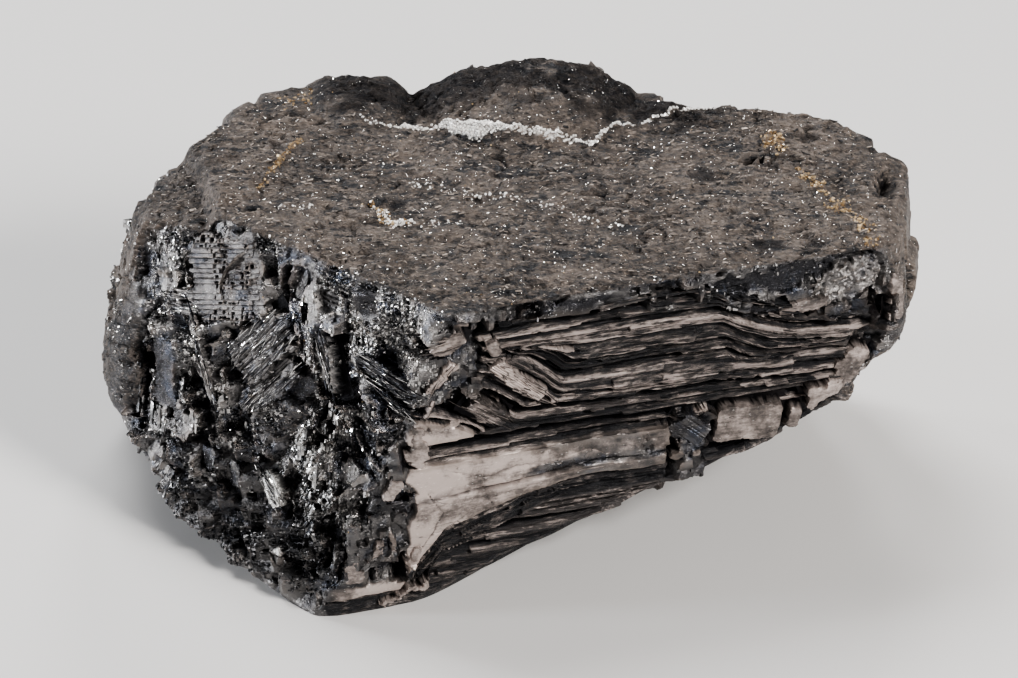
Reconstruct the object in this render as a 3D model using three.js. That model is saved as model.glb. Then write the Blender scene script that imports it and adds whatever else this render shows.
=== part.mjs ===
// A hand specimen of galena, lying on its flat cleaved underside.
//
// It is one grown-together lump: a block of heavy lead-grey mineral with a
// weathered crust on top, a side of level cleavage bands, a hackly broken
// side, a blunt right end and a low ridge of humps along the back.
//
// Frame: millimetres, +Z up, origin on the flat underside, below the heart of
// the stone. +X runs along the specimen towards its blunt right end, +Y runs
// away from the banded side.

import * as THREE from "three";
import { mergeVertices } from "three/addons/utils/BufferGeometryUtils.js";

// ---------------------------------------------------------------- dimensions

const HEART = new THREE.Vector3(2, 2, 19); // the point that every face is measured from
const BASE_DEPTH = HEART.z; // the flat underside lies at height zero
const BAND_YAW = 16.5; // degrees from +X to the level bands' own direction
const EDGE_SHARPNESS = 34; // power of the corner rounding, higher is sharper

// The box of rays that is thrown out from the heart, along, across and up.
const RAY_BOX = new THREE.Vector3(92, 54, 43);
const RAY_BOX_LIFT = 2.5; // the box's middle, above the heart
const FACETS = new THREE.Vector3(37, 22, 26); // how many facets fill each edge of the box

// Each natural face: bearing in degrees from +X, rise in degrees above level,
// and the distance from the heart.
const FACES = [
  { name: "crust top", bearing: 0, rise: 90, reach: 19.7 },
  { name: "banded side", bearing: -73.5, rise: -4.2, reach: 19.4 },
  { name: "hackly side", bearing: -128.7, rise: 14.1, reach: 25.7 },
  { name: "under the bands", bearing: -46, rise: -55, reach: 21 },
  { name: "under the hackles", bearing: -160, rise: -62, reach: 30.6 },
  { name: "left end", bearing: -178, rise: 12, reach: 42.6 },
  { name: "left heel", bearing: -172, rise: -34, reach: 41 },
  { name: "left bevel", bearing: -152, rise: 0, reach: 40.3 },
  { name: "left roof", bearing: 166, rise: 66, reach: 31 },
  { name: "right end", bearing: -6, rise: 8, reach: 46.6 },
  { name: "right nose", bearing: -38, rise: 2, reach: 42.6 },
  { name: "under the nose", bearing: -14, rise: -36, reach: 36 },
  { name: "right shoulder", bearing: 28, rise: 46, reach: 50 },
  { name: "right roof", bearing: 12, rise: 76, reach: 28.6 },
  { name: "back wall", bearing: 84, rise: 8, reach: 25 },
  { name: "back right", bearing: 45, rise: 10, reach: 42 },
  { name: "back left", bearing: 135, rise: 16, reach: 38.2 },
  { name: "back heel", bearing: 90, rise: -40, reach: 27 },
];

// The low humps along the back of the crust: centre, half-width along and
// across, turn in degrees, and height.
const HUMPS = [
  { x: 5, y: 24, along: 12.5, across: 11, turn: -4, height: 5 },
  { x: 12, y: 23, along: 13, across: 9, turn: 0, height: 1.5 },
  { x: -13.5, y: 23, along: 5.5, across: 8, turn: 0, height: 2.4 },
  { x: -21, y: 17, along: 9, across: 9, turn: 25, height: 1.2 },
];
const HUMP_ROUNDNESS = 0.75;
const HUMP_FOOT = 20; // height where the lift of the humps begins
const HUMP_FULL = 37; // height where it acts in full

// The shoulder left of the crust's scarp lies this much lower.
const SCARP = { x: -27, y: -3, slant: 0.25, width: 3, drop: 3.2 };

// The banded side, level by level: height and how far it stands proud.
const BANDS = [
  [0, -0.2],
  [5, -0.9],
  [8, -0.6],
  [10.5, -2],
  [12.4, -1.8],
  [13.6, 0.5],
  [17.9, 0.2],
  [19, -0.9],
  [20.6, -0.5],
  [22.3, -2.3],
  [24.2, -0.3],
  [27, -0.9],
  [29, -0.4],
  [31.5, -1.2],
  [33.5, 0],
  [35.5, -0.7],
  [38.7, 0],
];
// The broad pale ledge sweeps down at its near end: it keeps its full depth
// below this height there, over this length along the bands.
const LEDGE = { top: 17.9, bottom: 12.4, sweepFrom: -2, sweepTo: -11 };

// Cleavage blocks on the broken faces: edge length, how deep they step and
// how far their faces lean over one edge.
const BLOCK = { edge: 6.2, step: 1.7, lean: 2.2 };
const UNDULATION = { size: 7, height: 0.45 };

// ------------------------------------------------------------------- helpers

const radians = THREE.MathUtils.degToRad;
const smoothstep = THREE.MathUtils.smoothstep;

// A unit vector from a bearing and a rise in degrees.
function direction(bearing, rise) {
  const b = radians(bearing);
  const r = radians(rise);
  return new THREE.Vector3(
    Math.cos(b) * Math.cos(r),
    Math.sin(b) * Math.cos(r),
    Math.sin(r),
  );
}

const faces = FACES.map((face) => ({
  ...face,
  normal: direction(face.bearing, face.rise),
}));

// How far out the block reaches along a ray, and how much each face has a
// say there: the faces' own distances, blended by a high power.
function blockAlong(ray) {
  const shares = faces.map((face) => {
    const slope = face.normal.dot(ray);
    return slope > 0 ? (slope / face.reach) ** EDGE_SHARPNESS : 0;
  });
  const total = shares.reduce((sum, share) => sum + share, 0);
  return {
    reach: total ** (-1 / EDGE_SHARPNESS),
    weights: shares.map((share) => share / total),
  };
}

// The lift of the humps and the drop of the left shoulder over the plan.
function lift(x, y) {
  let height = 0;
  for (const hump of HUMPS) {
    const turn = radians(hump.turn);
    const dx = x - hump.x;
    const dy = y - hump.y;
    const u = (dx * Math.cos(turn) + dy * Math.sin(turn)) / hump.along;
    const v = (dy * Math.cos(turn) - dx * Math.sin(turn)) / hump.across;
    const inside = Math.max(0, 1 - u * u - v * v);
    height += hump.height * inside ** HUMP_ROUNDNESS;
  }
  const past = SCARP.x - x - SCARP.slant * (y - SCARP.y);
  const fade = 1 - 0.6 * smoothstep(y, 4, 20);
  return height - SCARP.drop * smoothstep(past, 0, SCARP.width) * fade;
}

// How far the bands stand proud at a height, from level to level.
function bandsAt(z) {
  for (let i = 1; i < BANDS.length; i += 1) {
    const [low, from] = BANDS[i - 1];
    const [high, to] = BANDS[i];
    if (z <= high) {
      const share = Math.max(0, (z - low) / (high - low));
      return THREE.MathUtils.lerp(from, to, share);
    }
  }
  return 0;
}

// The banded side's relief: the bands, filled out below the pale ledge where
// it sweeps down.
function bandRelief(p) {
  const yaw = radians(BAND_YAW);
  const along = p.x * Math.cos(yaw) + p.y * Math.sin(yaw);
  const swept = smoothstep(-along, -LEDGE.sweepFrom, -LEDGE.sweepTo);
  const level = p.z < LEDGE.bottom ? swept : 0;
  return THREE.MathUtils.lerp(bandsAt(p.z), bandsAt(LEDGE.top), level);
}

// A repeatable number from 0 to 1 for each cell of the cleavage lattice.
function cellChance(i, j, k) {
  const n = Math.sin(i * 127.1 + j * 311.7 + k * 74.7) * 43758.5453;
  return n - Math.floor(n);
}

// Blocks cut by the three cleavages at right angles, each set back and
// tilted at random.
function blockRelief(p) {
  const cell = p.clone().divideScalar(BLOCK.edge).floor();
  const { x: i, y: j, z: k } = cell;
  const inside = p.clone().divideScalar(BLOCK.edge).sub(cell).subScalar(0.5);
  const tilt = new THREE.Vector3(
    cellChance(i + 9, j, k) - 0.5,
    cellChance(i, j + 9, k) - 0.5,
    cellChance(i, j, k + 9) - 0.5,
  );
  return BLOCK.step * (cellChance(i, j, k) - 0.75) + BLOCK.lean * tilt.dot(inside);
}

// A slow swell over the whole stone.
function undulation(p) {
  const { size, height } = UNDULATION;
  const a = Math.sin(p.x / size + 1.7 * Math.sin(p.y / size));
  const b = Math.sin(p.y / size + 1.3 * Math.sin(p.z / size) + 2);
  const c = Math.sin(p.z / size + 1.1 * Math.sin(p.x / size) + 4);
  return (height * (a + b + c)) / 3;
}

// ------------------------------------------------------------------ the body

// Moves one point of the ray box to the surface of the stone.
function surfacePoint(corner) {
  const { reach, weights } = blockAlong(corner);
  const toBase = corner.z < 0 ? BASE_DEPTH / -corner.z : Infinity;
  if (toBase <= reach) {
    return HEART.clone().addScaledVector(corner, toBase).setZ(0);
  }
  const p = HEART.clone().addScaledVector(corner, reach);
  const outward = new THREE.Vector3();
  let relief = 0;
  faces.forEach((face, n) => {
    outward.addScaledVector(face.normal, weights[n]);
    if (face.name === "banded side") relief += weights[n] * bandRelief(p);
    else if (face.name !== "crust top") relief += weights[n] * blockRelief(p);
  });
  relief += undulation(p);
  relief *= smoothstep(p.z, 0, 4); // nothing stands proud where the stone meets its base
  p.addScaledVector(outward.normalize(), relief);
  p.z += lift(p.x, p.y) * smoothstep(p.z, HUMP_FOOT, HUMP_FULL);
  return p.setZ(Math.max(0, p.z));
}

function galenaGeometry() {
  const box = new THREE.BoxGeometry(
    RAY_BOX.x,
    RAY_BOX.y,
    RAY_BOX.z,
    FACETS.x,
    FACETS.y,
    FACETS.z,
  );
  box.deleteAttribute("normal");
  box.deleteAttribute("uv");
  const rays = mergeVertices(box);
  rays.translate(0, 0, RAY_BOX_LIFT);
  rays.rotateZ(radians(BAND_YAW));
  const position = rays.getAttribute("position");
  const corner = new THREE.Vector3();
  for (let n = 0; n < position.count; n += 1) {
    corner.fromBufferAttribute(position, n);
    position.setXYZ(n, ...surfacePoint(corner).toArray());
  }
  rays.computeVertexNormals();
  return rays;
}

const leadGrey = new THREE.MeshStandardMaterial({
  color: 0x4a4744,
  roughness: 0.42,
  metalness: 0.85,
});

const galena = new THREE.Mesh(galenaGeometry(), leadGrey);
galena.name = "galena";

const specimen = new THREE.Group();
specimen.add(galena);

export default specimen;
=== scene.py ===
"""A hand specimen of galena, lying on its flat cleaved underside.

The stone is one grown-together lump. Its body is a block of natural faces, each
with its own broken surface: a dull crust on top, a side of level cleavage bands,
a hackly side, a blunt right end and a cleaved back. Small crystals, flakes and
grains that are grown into those faces are pieces of their own.

Lengths in this file are millimetres and angles are degrees. A mesh is turned to
metres when it is made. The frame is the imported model's: +Z up, the origin on the
flat underside, +X along the stone to its blunt right end.
"""

from __future__ import annotations

import functools
import itertools
import logging
import math
from collections.abc import Callable
from dataclasses import dataclass, field
from enum import Enum

import bpy
import numpy as np
from mathutils import Matrix, Vector


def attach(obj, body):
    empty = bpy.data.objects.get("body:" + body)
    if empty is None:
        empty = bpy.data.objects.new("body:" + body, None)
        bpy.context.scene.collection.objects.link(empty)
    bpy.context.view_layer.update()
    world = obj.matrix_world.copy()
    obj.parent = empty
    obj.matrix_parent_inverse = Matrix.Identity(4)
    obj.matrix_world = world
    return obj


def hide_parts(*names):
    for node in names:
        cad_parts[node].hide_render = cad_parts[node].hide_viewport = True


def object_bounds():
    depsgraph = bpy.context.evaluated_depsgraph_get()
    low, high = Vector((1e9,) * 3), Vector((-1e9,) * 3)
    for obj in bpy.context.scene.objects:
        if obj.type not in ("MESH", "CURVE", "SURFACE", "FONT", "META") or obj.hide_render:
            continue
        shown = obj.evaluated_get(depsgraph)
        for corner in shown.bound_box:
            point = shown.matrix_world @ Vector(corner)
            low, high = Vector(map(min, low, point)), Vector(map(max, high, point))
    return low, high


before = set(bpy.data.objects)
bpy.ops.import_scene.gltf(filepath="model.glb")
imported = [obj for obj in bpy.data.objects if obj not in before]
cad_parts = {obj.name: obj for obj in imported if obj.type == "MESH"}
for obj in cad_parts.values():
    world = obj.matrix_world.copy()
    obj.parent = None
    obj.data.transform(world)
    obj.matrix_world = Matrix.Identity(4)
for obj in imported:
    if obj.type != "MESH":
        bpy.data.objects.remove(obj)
CAD_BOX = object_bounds()

log = logging.getLogger("galena")

METRE = 1000.0  # millimetres in a metre
NODE = "galena"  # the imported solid, and the material slot, that the pieces stand for
BODY = "root"

HEART = np.array([2.0, 2.0, 19.0])  # the point that every natural face is measured from
BAND_YAW = 16.5  # the level bands' own direction, from +X
YAW_COS, YAW_SIN = math.cos(math.radians(BAND_YAW)), math.sin(math.radians(BAND_YAW))
EDGE_SHARPNESS = 46  # power of the rounding where natural faces meet

Array, Chance = np.ndarray, np.random.Generator
Pair, Triple = tuple[float, float], tuple[float, float, float]
Path = tuple[Pair, ...]
Piece, Material, Tree = bpy.types.Object, bpy.types.Material, bpy.types.NodeTree
Socket, Node = bpy.types.NodeSocket, bpy.types.Node
Value = Socket | float
Groups = dict[str, Tree]


# ------------------------------------------------------------------ small maths


def direction(bearing: float, rise: float) -> Array:
    """Gives the unit vector at a bearing, in degrees from +X to +Y, and a rise above level."""
    b, r = math.radians(bearing), math.radians(rise)
    return np.array([math.cos(b) * math.cos(r), math.sin(b) * math.cos(r), math.sin(r)])


def ease(x: Array, low: float, high: float) -> Array:
    """Rises from 0 where x is low to 1 where it is high, along 3t^2 - 2t^3."""
    t = np.clip((x - low) / (high - low), 0.0, 1.0)
    return t * t * (3.0 - 2.0 * t)


def mix(a: Array | float, b: Array | float, share: Array) -> Array:
    """Gives a, and this share of b in its place."""
    return a * (1.0 - share) + b * share


def chance(cells: Array, seed: int) -> Array:
    """Gives each whole-numbered cell its own repeatable number from 0 to 1.

    Args:
        cells: the cells' coordinates along the last axis.
        seed: picks one of many such tables.

    Returns:
        The numbers, mixed from the coordinates' bits.
    """
    primes = (73856093, 19349663, 83492791)
    mixed = np.full(cells.shape[:-1], seed * 2654435761 % 2**31, np.int64)
    for axis in range(cells.shape[-1]):
        mixed ^= cells[..., axis].astype(np.int64) * primes[axis]
    mixed = (mixed ^ (mixed >> 13)) * 1274126177 & 0xFFFFFFFF
    mixed = (mixed ^ (mixed >> 15)) * 668265263 & 0xFFFFFFFF
    mixed ^= mixed >> 16
    return (mixed & 0xFFFFFF) / float(0x1000000)


def swell(points: Array, size: float, seed: int) -> Array:
    """Smooth noise from -1 to 1: chances at the lattice corners, eased between.

    Args:
        points: places, with 2 or 3 coordinates along the last axis.
        size: the lattice's edge.
        seed: picks the noise.

    Returns:
        The values.
    """
    scaled = points / size
    corner = np.floor(scaled).astype(np.int64)
    part = scaled - corner
    part = part * part * (3.0 - 2.0 * part)
    total = np.zeros(points.shape[:-1])
    for step in itertools.product((0, 1), repeat=points.shape[-1]):
        share = np.prod(np.where(np.array(step) == 1, part, 1.0 - part), axis=-1)
        total += share * chance(corner + np.array(step), seed)
    return 2.0 * total - 1.0


def rough(points: Array, size: float, octaves: int, seed: int) -> Array:
    """Rough noise of about -1 to 1: swells of halving size and height, summed.

    Args:
        points: places.
        size: the largest swell's size.
        octaves: how many swells.
        seed: picks the noise.

    Returns:
        The values.
    """
    total = np.zeros(points.shape[:-1])
    for n in range(octaves):
        total += swell(points, size / 2**n, seed + n) / 2**n
    return total / (2.0 - 2.0 ** (1 - octaves))


def scatter_cells(points: Array, size: float, seed: int) -> tuple[Array, Array, Array]:
    """Splits space into cells round jittered seeds, one to a lattice cube.

    Args:
        points: places.
        size: the lattice's edge.
        seed: picks the seeds.

    Returns:
        The distance to the nearest seed, how much further the next is, and the
        nearest seed's own chance.
    """
    home = np.floor(points / size).astype(np.int64)
    nearest = np.full(points.shape[:-1], 1e9)
    second = np.full(points.shape[:-1], 1e9)
    owner = np.zeros(points.shape[:-1])
    for step in itertools.product((-1, 0, 1), repeat=points.shape[-1]):
        cell = home + np.array(step)
        jitter = np.stack([chance(cell, seed + 11 + k) for k in range(points.shape[-1])], -1)
        reach = np.linalg.norm((cell + jitter) * size - points, axis=-1)
        closer = reach < nearest
        second = np.where(closer, nearest, np.minimum(second, reach))
        owner = np.where(closer, chance(cell, seed), owner)
        nearest = np.where(closer, reach, nearest)
    return nearest, second - nearest, owner


def path_distance(points: Array, path: Path) -> tuple[Array, Array]:
    """Measures flat points against a broken line.

    Args:
        points: places with 2 coordinates.
        path: the line's corners.

    Returns:
        The distance to the line, and how far along it from 0 to 1.
    """
    best = np.full(points.shape[:-1], 1e9)
    along = np.zeros(points.shape[:-1])
    pieces = len(path) - 1
    for n in range(pieces):
        start, end = np.array(path[n]), np.array(path[n + 1])
        run = end - start
        t = np.clip(((points - start) @ run) / (run @ run), 0.0, 1.0)
        reach = np.linalg.norm(points - start - t[..., None] * run, axis=-1)
        along = np.where(reach < best, (n + t) / pieces, along)
        best = np.minimum(best, reach)
    return best, along


# ------------------------------------------------------------------- the block


class Skin(Enum):
    """What a natural face is broken or grown into."""

    CRUST = "crust"
    BANDED = "banded"
    HACKLY = "hackly"
    CLEAVED = "cleaved"


@dataclass(frozen=True)
class Face:
    """One natural face of the block, as a plane at its reach from the heart."""

    name: str
    bearing: float
    rise: float
    reach: float
    skin: Skin
    broken: float = 1.0  # how much of the cleavage stair the face shows
    dull: float = 0.0  # how far the crust's weathering has spread over it

    @property
    def normal(self) -> Array:
        """The unit vector out of the face."""
        return direction(self.bearing, self.rise)


FACES = (
    Face("crust top", 0, 90, 19.7, Skin.CRUST),
    Face("banded side", -73.5, -4.2, 19.4, Skin.BANDED),
    Face("hackly side", -128.7, 14.1, 25.7, Skin.HACKLY, 0.85),
    Face("under the bands", -46, -55, 21, Skin.BANDED),
    Face("under the hackles", -160, -62, 30.6, Skin.HACKLY, 0.5),
    Face("left end", -178, 12, 42.0, Skin.HACKLY, 0.3, 0.75),
    Face("left heel", -172, -34, 39.2, Skin.HACKLY, 0.4, 0.3),
    Face("left bevel", -152, 0, 40.0, Skin.HACKLY, 0.4, 0.6),
    Face("left roof", 166, 66, 31.6, Skin.CRUST),
    Face("right end", -6, 8, 46.0, Skin.CLEAVED, 0.25, 0.95),
    Face("right nose", -38, 2, 39.6, Skin.BANDED, 0.4),
    Face("under the nose", -14, -36, 32.0, Skin.CLEAVED, 0.3, 0.6),
    Face("right shoulder", 28, 46, 50, Skin.CRUST),
    Face("right roof", 12, 76, 28.6, Skin.CRUST),
    Face("back wall", 84, 8, 25, Skin.CLEAVED, 1.0, 0.25),
    Face("back right", 45, 10, 42, Skin.CLEAVED, 0.8, 0.5),
    Face("back left", 135, 16, 38.2, Skin.CLEAVED, 0.8, 0.4),
    Face("back heel", 90, -40, 27, Skin.CLEAVED, 1.0, 0.25),
)


@dataclass(frozen=True)
class Hump:
    """A low hump on the crust: centre, half-widths, turn and height."""

    x: float
    y: float
    along: float
    across: float
    turn: float
    height: float

    def lift(self, x: Array, y: Array) -> Array:
        """Gives height * (1 - u^2 - v^2)^0.75 inside the hump's oval.

        Args:
            x: places along the stone.
            y: places across it.

        Returns:
            The lift.
        """
        c, s = math.cos(math.radians(self.turn)), math.sin(math.radians(self.turn))
        u = ((x - self.x) * c + (y - self.y) * s) / self.along
        v = ((y - self.y) * c - (x - self.x) * s) / self.across
        return self.height * np.maximum(0.0, 1.0 - u * u - v * v) ** 0.75


@dataclass(frozen=True)
class Block:
    """The bare block: natural faces, humps along the back and a lowered shoulder."""

    faces: tuple[Face, ...] = FACES
    humps: tuple[Hump, ...] = (
        Hump(5, 24, 12.5, 11, -4, 4.5),
        Hump(11, 23, 12, 9, 0, 1.2),
        Hump(-13.5, 23, 5.5, 8, 0, 2.0),
        Hump(-21, 17, 9, 9, 25, 0.5),
    )
    hump_foot: float = 20.0
    hump_full: float = 37.0
    scarp: Pair = (-27.0, -3.0)
    scarp_slant: float = 0.25
    scarp_width: float = 1.6
    scarp_drop: float = 2.9
    scarp_ragged: float = 0.5
    scarp_flare: float = 8.0  # how much wider it is towards the front
    scarp_fade: float = 0.6  # how much of its drop is lost towards the back

    def along(self, rays: Array) -> tuple[Array, Array, Array, Array]:
        """Finds where rays from the heart leave the block.

        Each face gives (slope / reach)^sharpness, and the sum to the power
        -1 / sharpness is the reach. A ray that meets the base first stops there.

        Args:
            rays: directions, one to a row.

        Returns:
            The points, each face's share there, the blended outward normal, and
            which points lie on the base.
        """
        normals = np.array([face.normal for face in self.faces])
        reaches = np.array([face.reach for face in self.faces])
        slopes = np.maximum(rays @ normals.T, 0.0) / reaches
        strength = slopes**EDGE_SHARPNESS
        total = strength.sum(-1)
        reach = total ** (-1.0 / EDGE_SHARPNESS)
        shares = strength / total[:, None]
        down = np.maximum(-rays[:, 2], 1e-9)
        to_base = HEART[2] / down
        on_base = to_base <= reach
        points = HEART + rays * np.minimum(reach, to_base)[:, None]
        outward = shares @ normals
        outward /= np.linalg.norm(outward, axis=1)[:, None]
        return points, shares, outward, on_base

    def lift(self, points: Array) -> Array:
        """Gives the lift of the humps and the drop of the left shoulder.

        Args:
            points: places on the block.

        Returns:
            The lift, fading out below the humps' foot.
        """
        x, y, z = points.T
        height = sum(hump.lift(x, y) for hump in self.humps)
        past = self.scarp[0] - x - self.scarp_slant * (y - self.scarp[1])
        past = past + self.scarp_ragged * swell(points[:, :2], 2.6, 31) * ease(z, 34.0, 38.0)
        fade = 1.0 - self.scarp_fade * ease(y, 4.0, 20.0)
        width = self.scarp_width + self.scarp_flare * ease(y, -2.0, -9.0)
        height = height - self.scarp_drop * ease(past / width, 0.0, 1.0) * fade
        return height * ease(z, self.hump_foot, self.hump_full)

    def seat(self, near: Array, proud: Array, stiff: bool = False) -> Array:
        """Gives places that stand this proud of the bare block, lift and all.

        Args:
            near: places near its surface.
            proud: how far each stands out.
            stiff: whether all are lifted alike, as one stiff plate.

        Returns:
            The places.
        """
        points, _, outward, _ = self.along((near - HEART).reshape(-1, 3))
        points = points + proud.reshape(-1, 1) * outward
        lift = self.lift(points)
        points[:, 2] += lift.mean() if stiff else lift
        return points.reshape(near.shape)


# ------------------------------------------------------- marks on a side of it


@dataclass(frozen=True)
class Patch:
    """A distinct leaf, slab, pit or hollow on one side of the stone.

    It covers a rounded rectangle with a surface of its own: level, leaning or
    crowned, with grooves along its turned direction, rows of square pits, and
    grain. Loose crystals keep off a bare patch. What it sets of the finish's
    masks is given by name.
    """

    name: str
    at: Pair
    half: Pair
    turn: float = 0.0
    proud: float = 0.0
    lean: Pair = (0.0, 0.0)
    crown: float = 0.0
    edge: float = 0.2
    square: float = 5.0
    ragged: float = 0.25
    cover: float = 1.0
    groove: Pair = (1.0, 0.0)  # pitch and depth
    pits: Triple = (1.0, 0.0, 0.0)  # pitch, depth and share
    grain: Pair = (1.0, 0.0)  # size and height
    bare: bool = True
    # dark lays near-black on: mostly painted shade in hollows and gaps and on shaded parts
    dark: float = 0.0
    band: float = 0.0
    tone: float | None = None
    # pale is partly a painted reflection of the lights
    pale: float | None = None
    matte: float | None = None
    # painted glints and highlights, laid on as white
    silver: float | None = None
    ochre: float | None = None
    smooth: float | None = None

    @property
    def paint(self) -> dict[str, float]:
        """The masks that the patch sets, by name."""
        names = ("dark", "band", "tone", "pale", "matte", "silver", "ochre", "smooth")
        return {name: getattr(self, name) for name in names if getattr(self, name) is not None}

    def frame(self, flat: Array) -> tuple[Array, Array]:
        """Gives places in the patch's own half-widths.

        Args:
            flat: places on the side.

        Returns:
            How far each lies along the patch's turned direction, and across it."""
        c, s = math.cos(math.radians(self.turn)), math.sin(math.radians(self.turn))
        du, dv = flat[..., 0] - self.at[0], flat[..., 1] - self.at[1]
        return (du * c + dv * s) / self.half[0], (dv * c - du * s) / self.half[1]

    def mask(self, flat: Array, softest: float = 0.0) -> Array:
        """Gives 1 inside the patch |u|^k + |v|^k < 1, easing to 0 over its edge.

        Args:
            flat: places on the side.
            softest: the narrowest that the edge may be.

        Returns:
            The mask.
        """
        u, v = self.frame(flat)
        k = self.square
        radius = (np.abs(u) ** k + np.abs(v) ** k) ** (1.0 / k)
        inside = (1.0 - radius) * min(self.half)
        return ease(inside, 0.0, max(self.edge, softest))

    def surface(self, flat: Array, plain: bool = False) -> Array:
        """Gives how far the patch stands proud.

        Grooves are a saw-tooth of uneven depth across the turned direction. Pits
        are square holes along rows, each row shifted by chance.

        Args:
            flat: places on the side.
            plain: leaves out the grooves, pits and grain.

        Returns:
            The height at each place.
        """
        u, v = self.frame(flat)
        height = self.proud + self.lean[0] * u + self.lean[1] * v
        height = height + self.crown * np.maximum(0.0, 1.0 - u * u - v * v)
        if plain:
            return height
        along, across = u * self.half[0], v * self.half[1]
        pitch, depth = self.groove
        if depth:
            row = across / pitch + 0.35 * swell(np.stack([along, v], -1), 3.0, 5)
            row = row + 0.5 * swell(np.stack([along / 4, across], -1), 1.9, 6)
            whole = np.floor(row)
            length = np.floor(along / 2.2 + 5.0 * chance(whole[..., None].astype(np.int64), 7))
            deep = 0.15 + 0.85 * chance(np.stack([whole, length], -1).astype(np.int64), 7)
            height = height - depth * deep * (1.0 - (row - whole)) ** 2
        pitch, depth, share = self.pits
        if depth:
            row = np.floor(across / pitch)
            column = along / (1.25 * pitch) + chance(row[..., None].astype(np.int64), 8)
            cell = np.stack([np.floor(column), row], -1).astype(np.int64)
            up = across / pitch % 1.0
            inside = np.abs(column % 1.0 - 0.5) < 0.12 + 0.36 * chance(cell, 9)
            inside &= (up > 0.1) & (up < 0.35 + 0.55 * chance(cell, 14))
            deep = chance(cell, 10)
            inside &= swell(np.stack([along, across], -1), 2.6, 13) > -0.15
            height = height - depth * (0.25 + 0.75 * chance(cell, 15)) * inside * (deep < share)
            height = height - 0.3 * depth * up
            height = height + 0.7 * depth * (chance(cell // np.array([6, 2]), 12) - 0.5)
        size, tall = self.grain
        if tall:
            height = height + tall * rough(np.stack([along, across], -1), size, 3, 11)
        return height


@dataclass(frozen=True)
class Slab(Patch):
    """A patch that is also a plate of its own, with a closer mesh than the stone's."""

    edge: float = 0.1


@dataclass(frozen=True)
class Gap(Patch):
    """A sunk patch, a gap or hole, with painted shade laid over it."""

    dark: float = 1.0


@dataclass(frozen=True)
class Seam:
    """A raised fin or vein, or a crack, along a broken line on one side of the stone."""

    name: str
    path: Path
    width: float
    proud: float
    paint: dict[str, float] = field(default_factory=dict)
    lumpy: float = 0.0

    def mask(self, flat: Array) -> Array:
        """Gives 1 on the line, falling to 0 at its width and tapering at its ends.

        Args:
            flat: places on the side.

        Returns:
            The mask.
        """
        reach, along = path_distance(flat, self.path)
        width = self.width * (0.35 + 0.65 * np.sin(np.pi * np.clip(along, 0.04, 0.96)) ** 0.5)
        if self.lumpy:
            width = width * np.maximum(0.1, 1.0 + self.lumpy * swell(flat, 1.1, 17))
        return np.clip(1.0 - reach / width, 0.0, 1.0)


@dataclass(frozen=True)
class Side:
    """A flat chart of one side, with the marks that lie on it."""

    face: str
    across: Triple
    upward: Triple
    patches: tuple[Patch, ...] = ()
    seams: tuple[Seam, ...] = ()
    softest: Pair = (0.15, 0.4)  # narrowest edge of a plain patch and of a slab on the stone
    deeper: float = 0.55  # how much deeper the stone lies under a slab's own plate

    @property
    def slabs(self) -> list[Slab]:
        """The patches that are plates of their own."""
        return [patch for patch in self.patches if isinstance(patch, Slab)]

    def chart(self, points: Array) -> Array:
        """Gives each point's two coordinates on the side."""
        return np.stack([points @ np.array(self.across), points @ np.array(self.upward)], -1)

    def place(self, flat: Array) -> Array:
        """Gives the points p of the natural face that have these coordinates.

        Args:
            flat: p.across and p.upward on the side.

        Returns:
            The points, with (p - heart).normal equal to the face's reach.
        """
        face = next(face for face in FACES if face.name == self.face)
        rows = np.array([self.across, self.upward, face.normal])
        out = np.full(flat.shape[:-1] + (1,), face.reach + HEART @ face.normal)
        return np.concatenate([flat, out], -1) @ np.linalg.inv(rows).T

    def wander(self, flat: Array) -> Array:
        """Gives the small shifts that make the marks' outlines uneven.

        Args:
            flat: places on the side.

        Returns:
            Each place's shift."""
        shifts = [
            swell(flat, 1.3, slow) + 0.5 * swell(flat, 0.5, fast) + 0.2 * swell(flat, 0.2, slow)
            for slow, fast in ((71, 73), (72, 74))
        ]
        return np.stack(shifts, -1)

    def mark(self, points: Array, relief: Array, paint: dict[str, Array]) -> Array:
        """Lays the side's patches and seams over its relief.

        A slab lies a little deeper here, under its own plate.

        Args:
            points: places on the side.
            relief: how far each stands proud so far.
            paint: the finish's masks, changed in place.

        Returns:
            The new relief.
        """
        flat = self.chart(points)
        wander = self.wander(flat)
        for patch in self.patches:
            shifted = flat + patch.ragged * wander
            slab = isinstance(patch, Slab)
            mask = patch.mask(shifted, self.softest[slab])
            cover = mask * patch.cover
            surface = patch.surface(flat, slab) - self.deeper * slab
            relief = mix(relief, surface, cover)
            for name, value in patch.paint.items():
                paint[name] = mix(paint[name], value, mask)
            if patch.bare:
                paint["smooth"] = np.maximum(paint["smooth"], mask)
        for seam in self.seams:
            mask = seam.mask(flat + 0.12 * wander)
            relief = relief + seam.proud * mask
            stain = ease(mask, 0.1, 0.5)
            for name, value in seam.paint.items():
                paint[name] = mix(paint[name], value, stain)
        return relief


# ---------------------------------------------------------- broken surfaces


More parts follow.
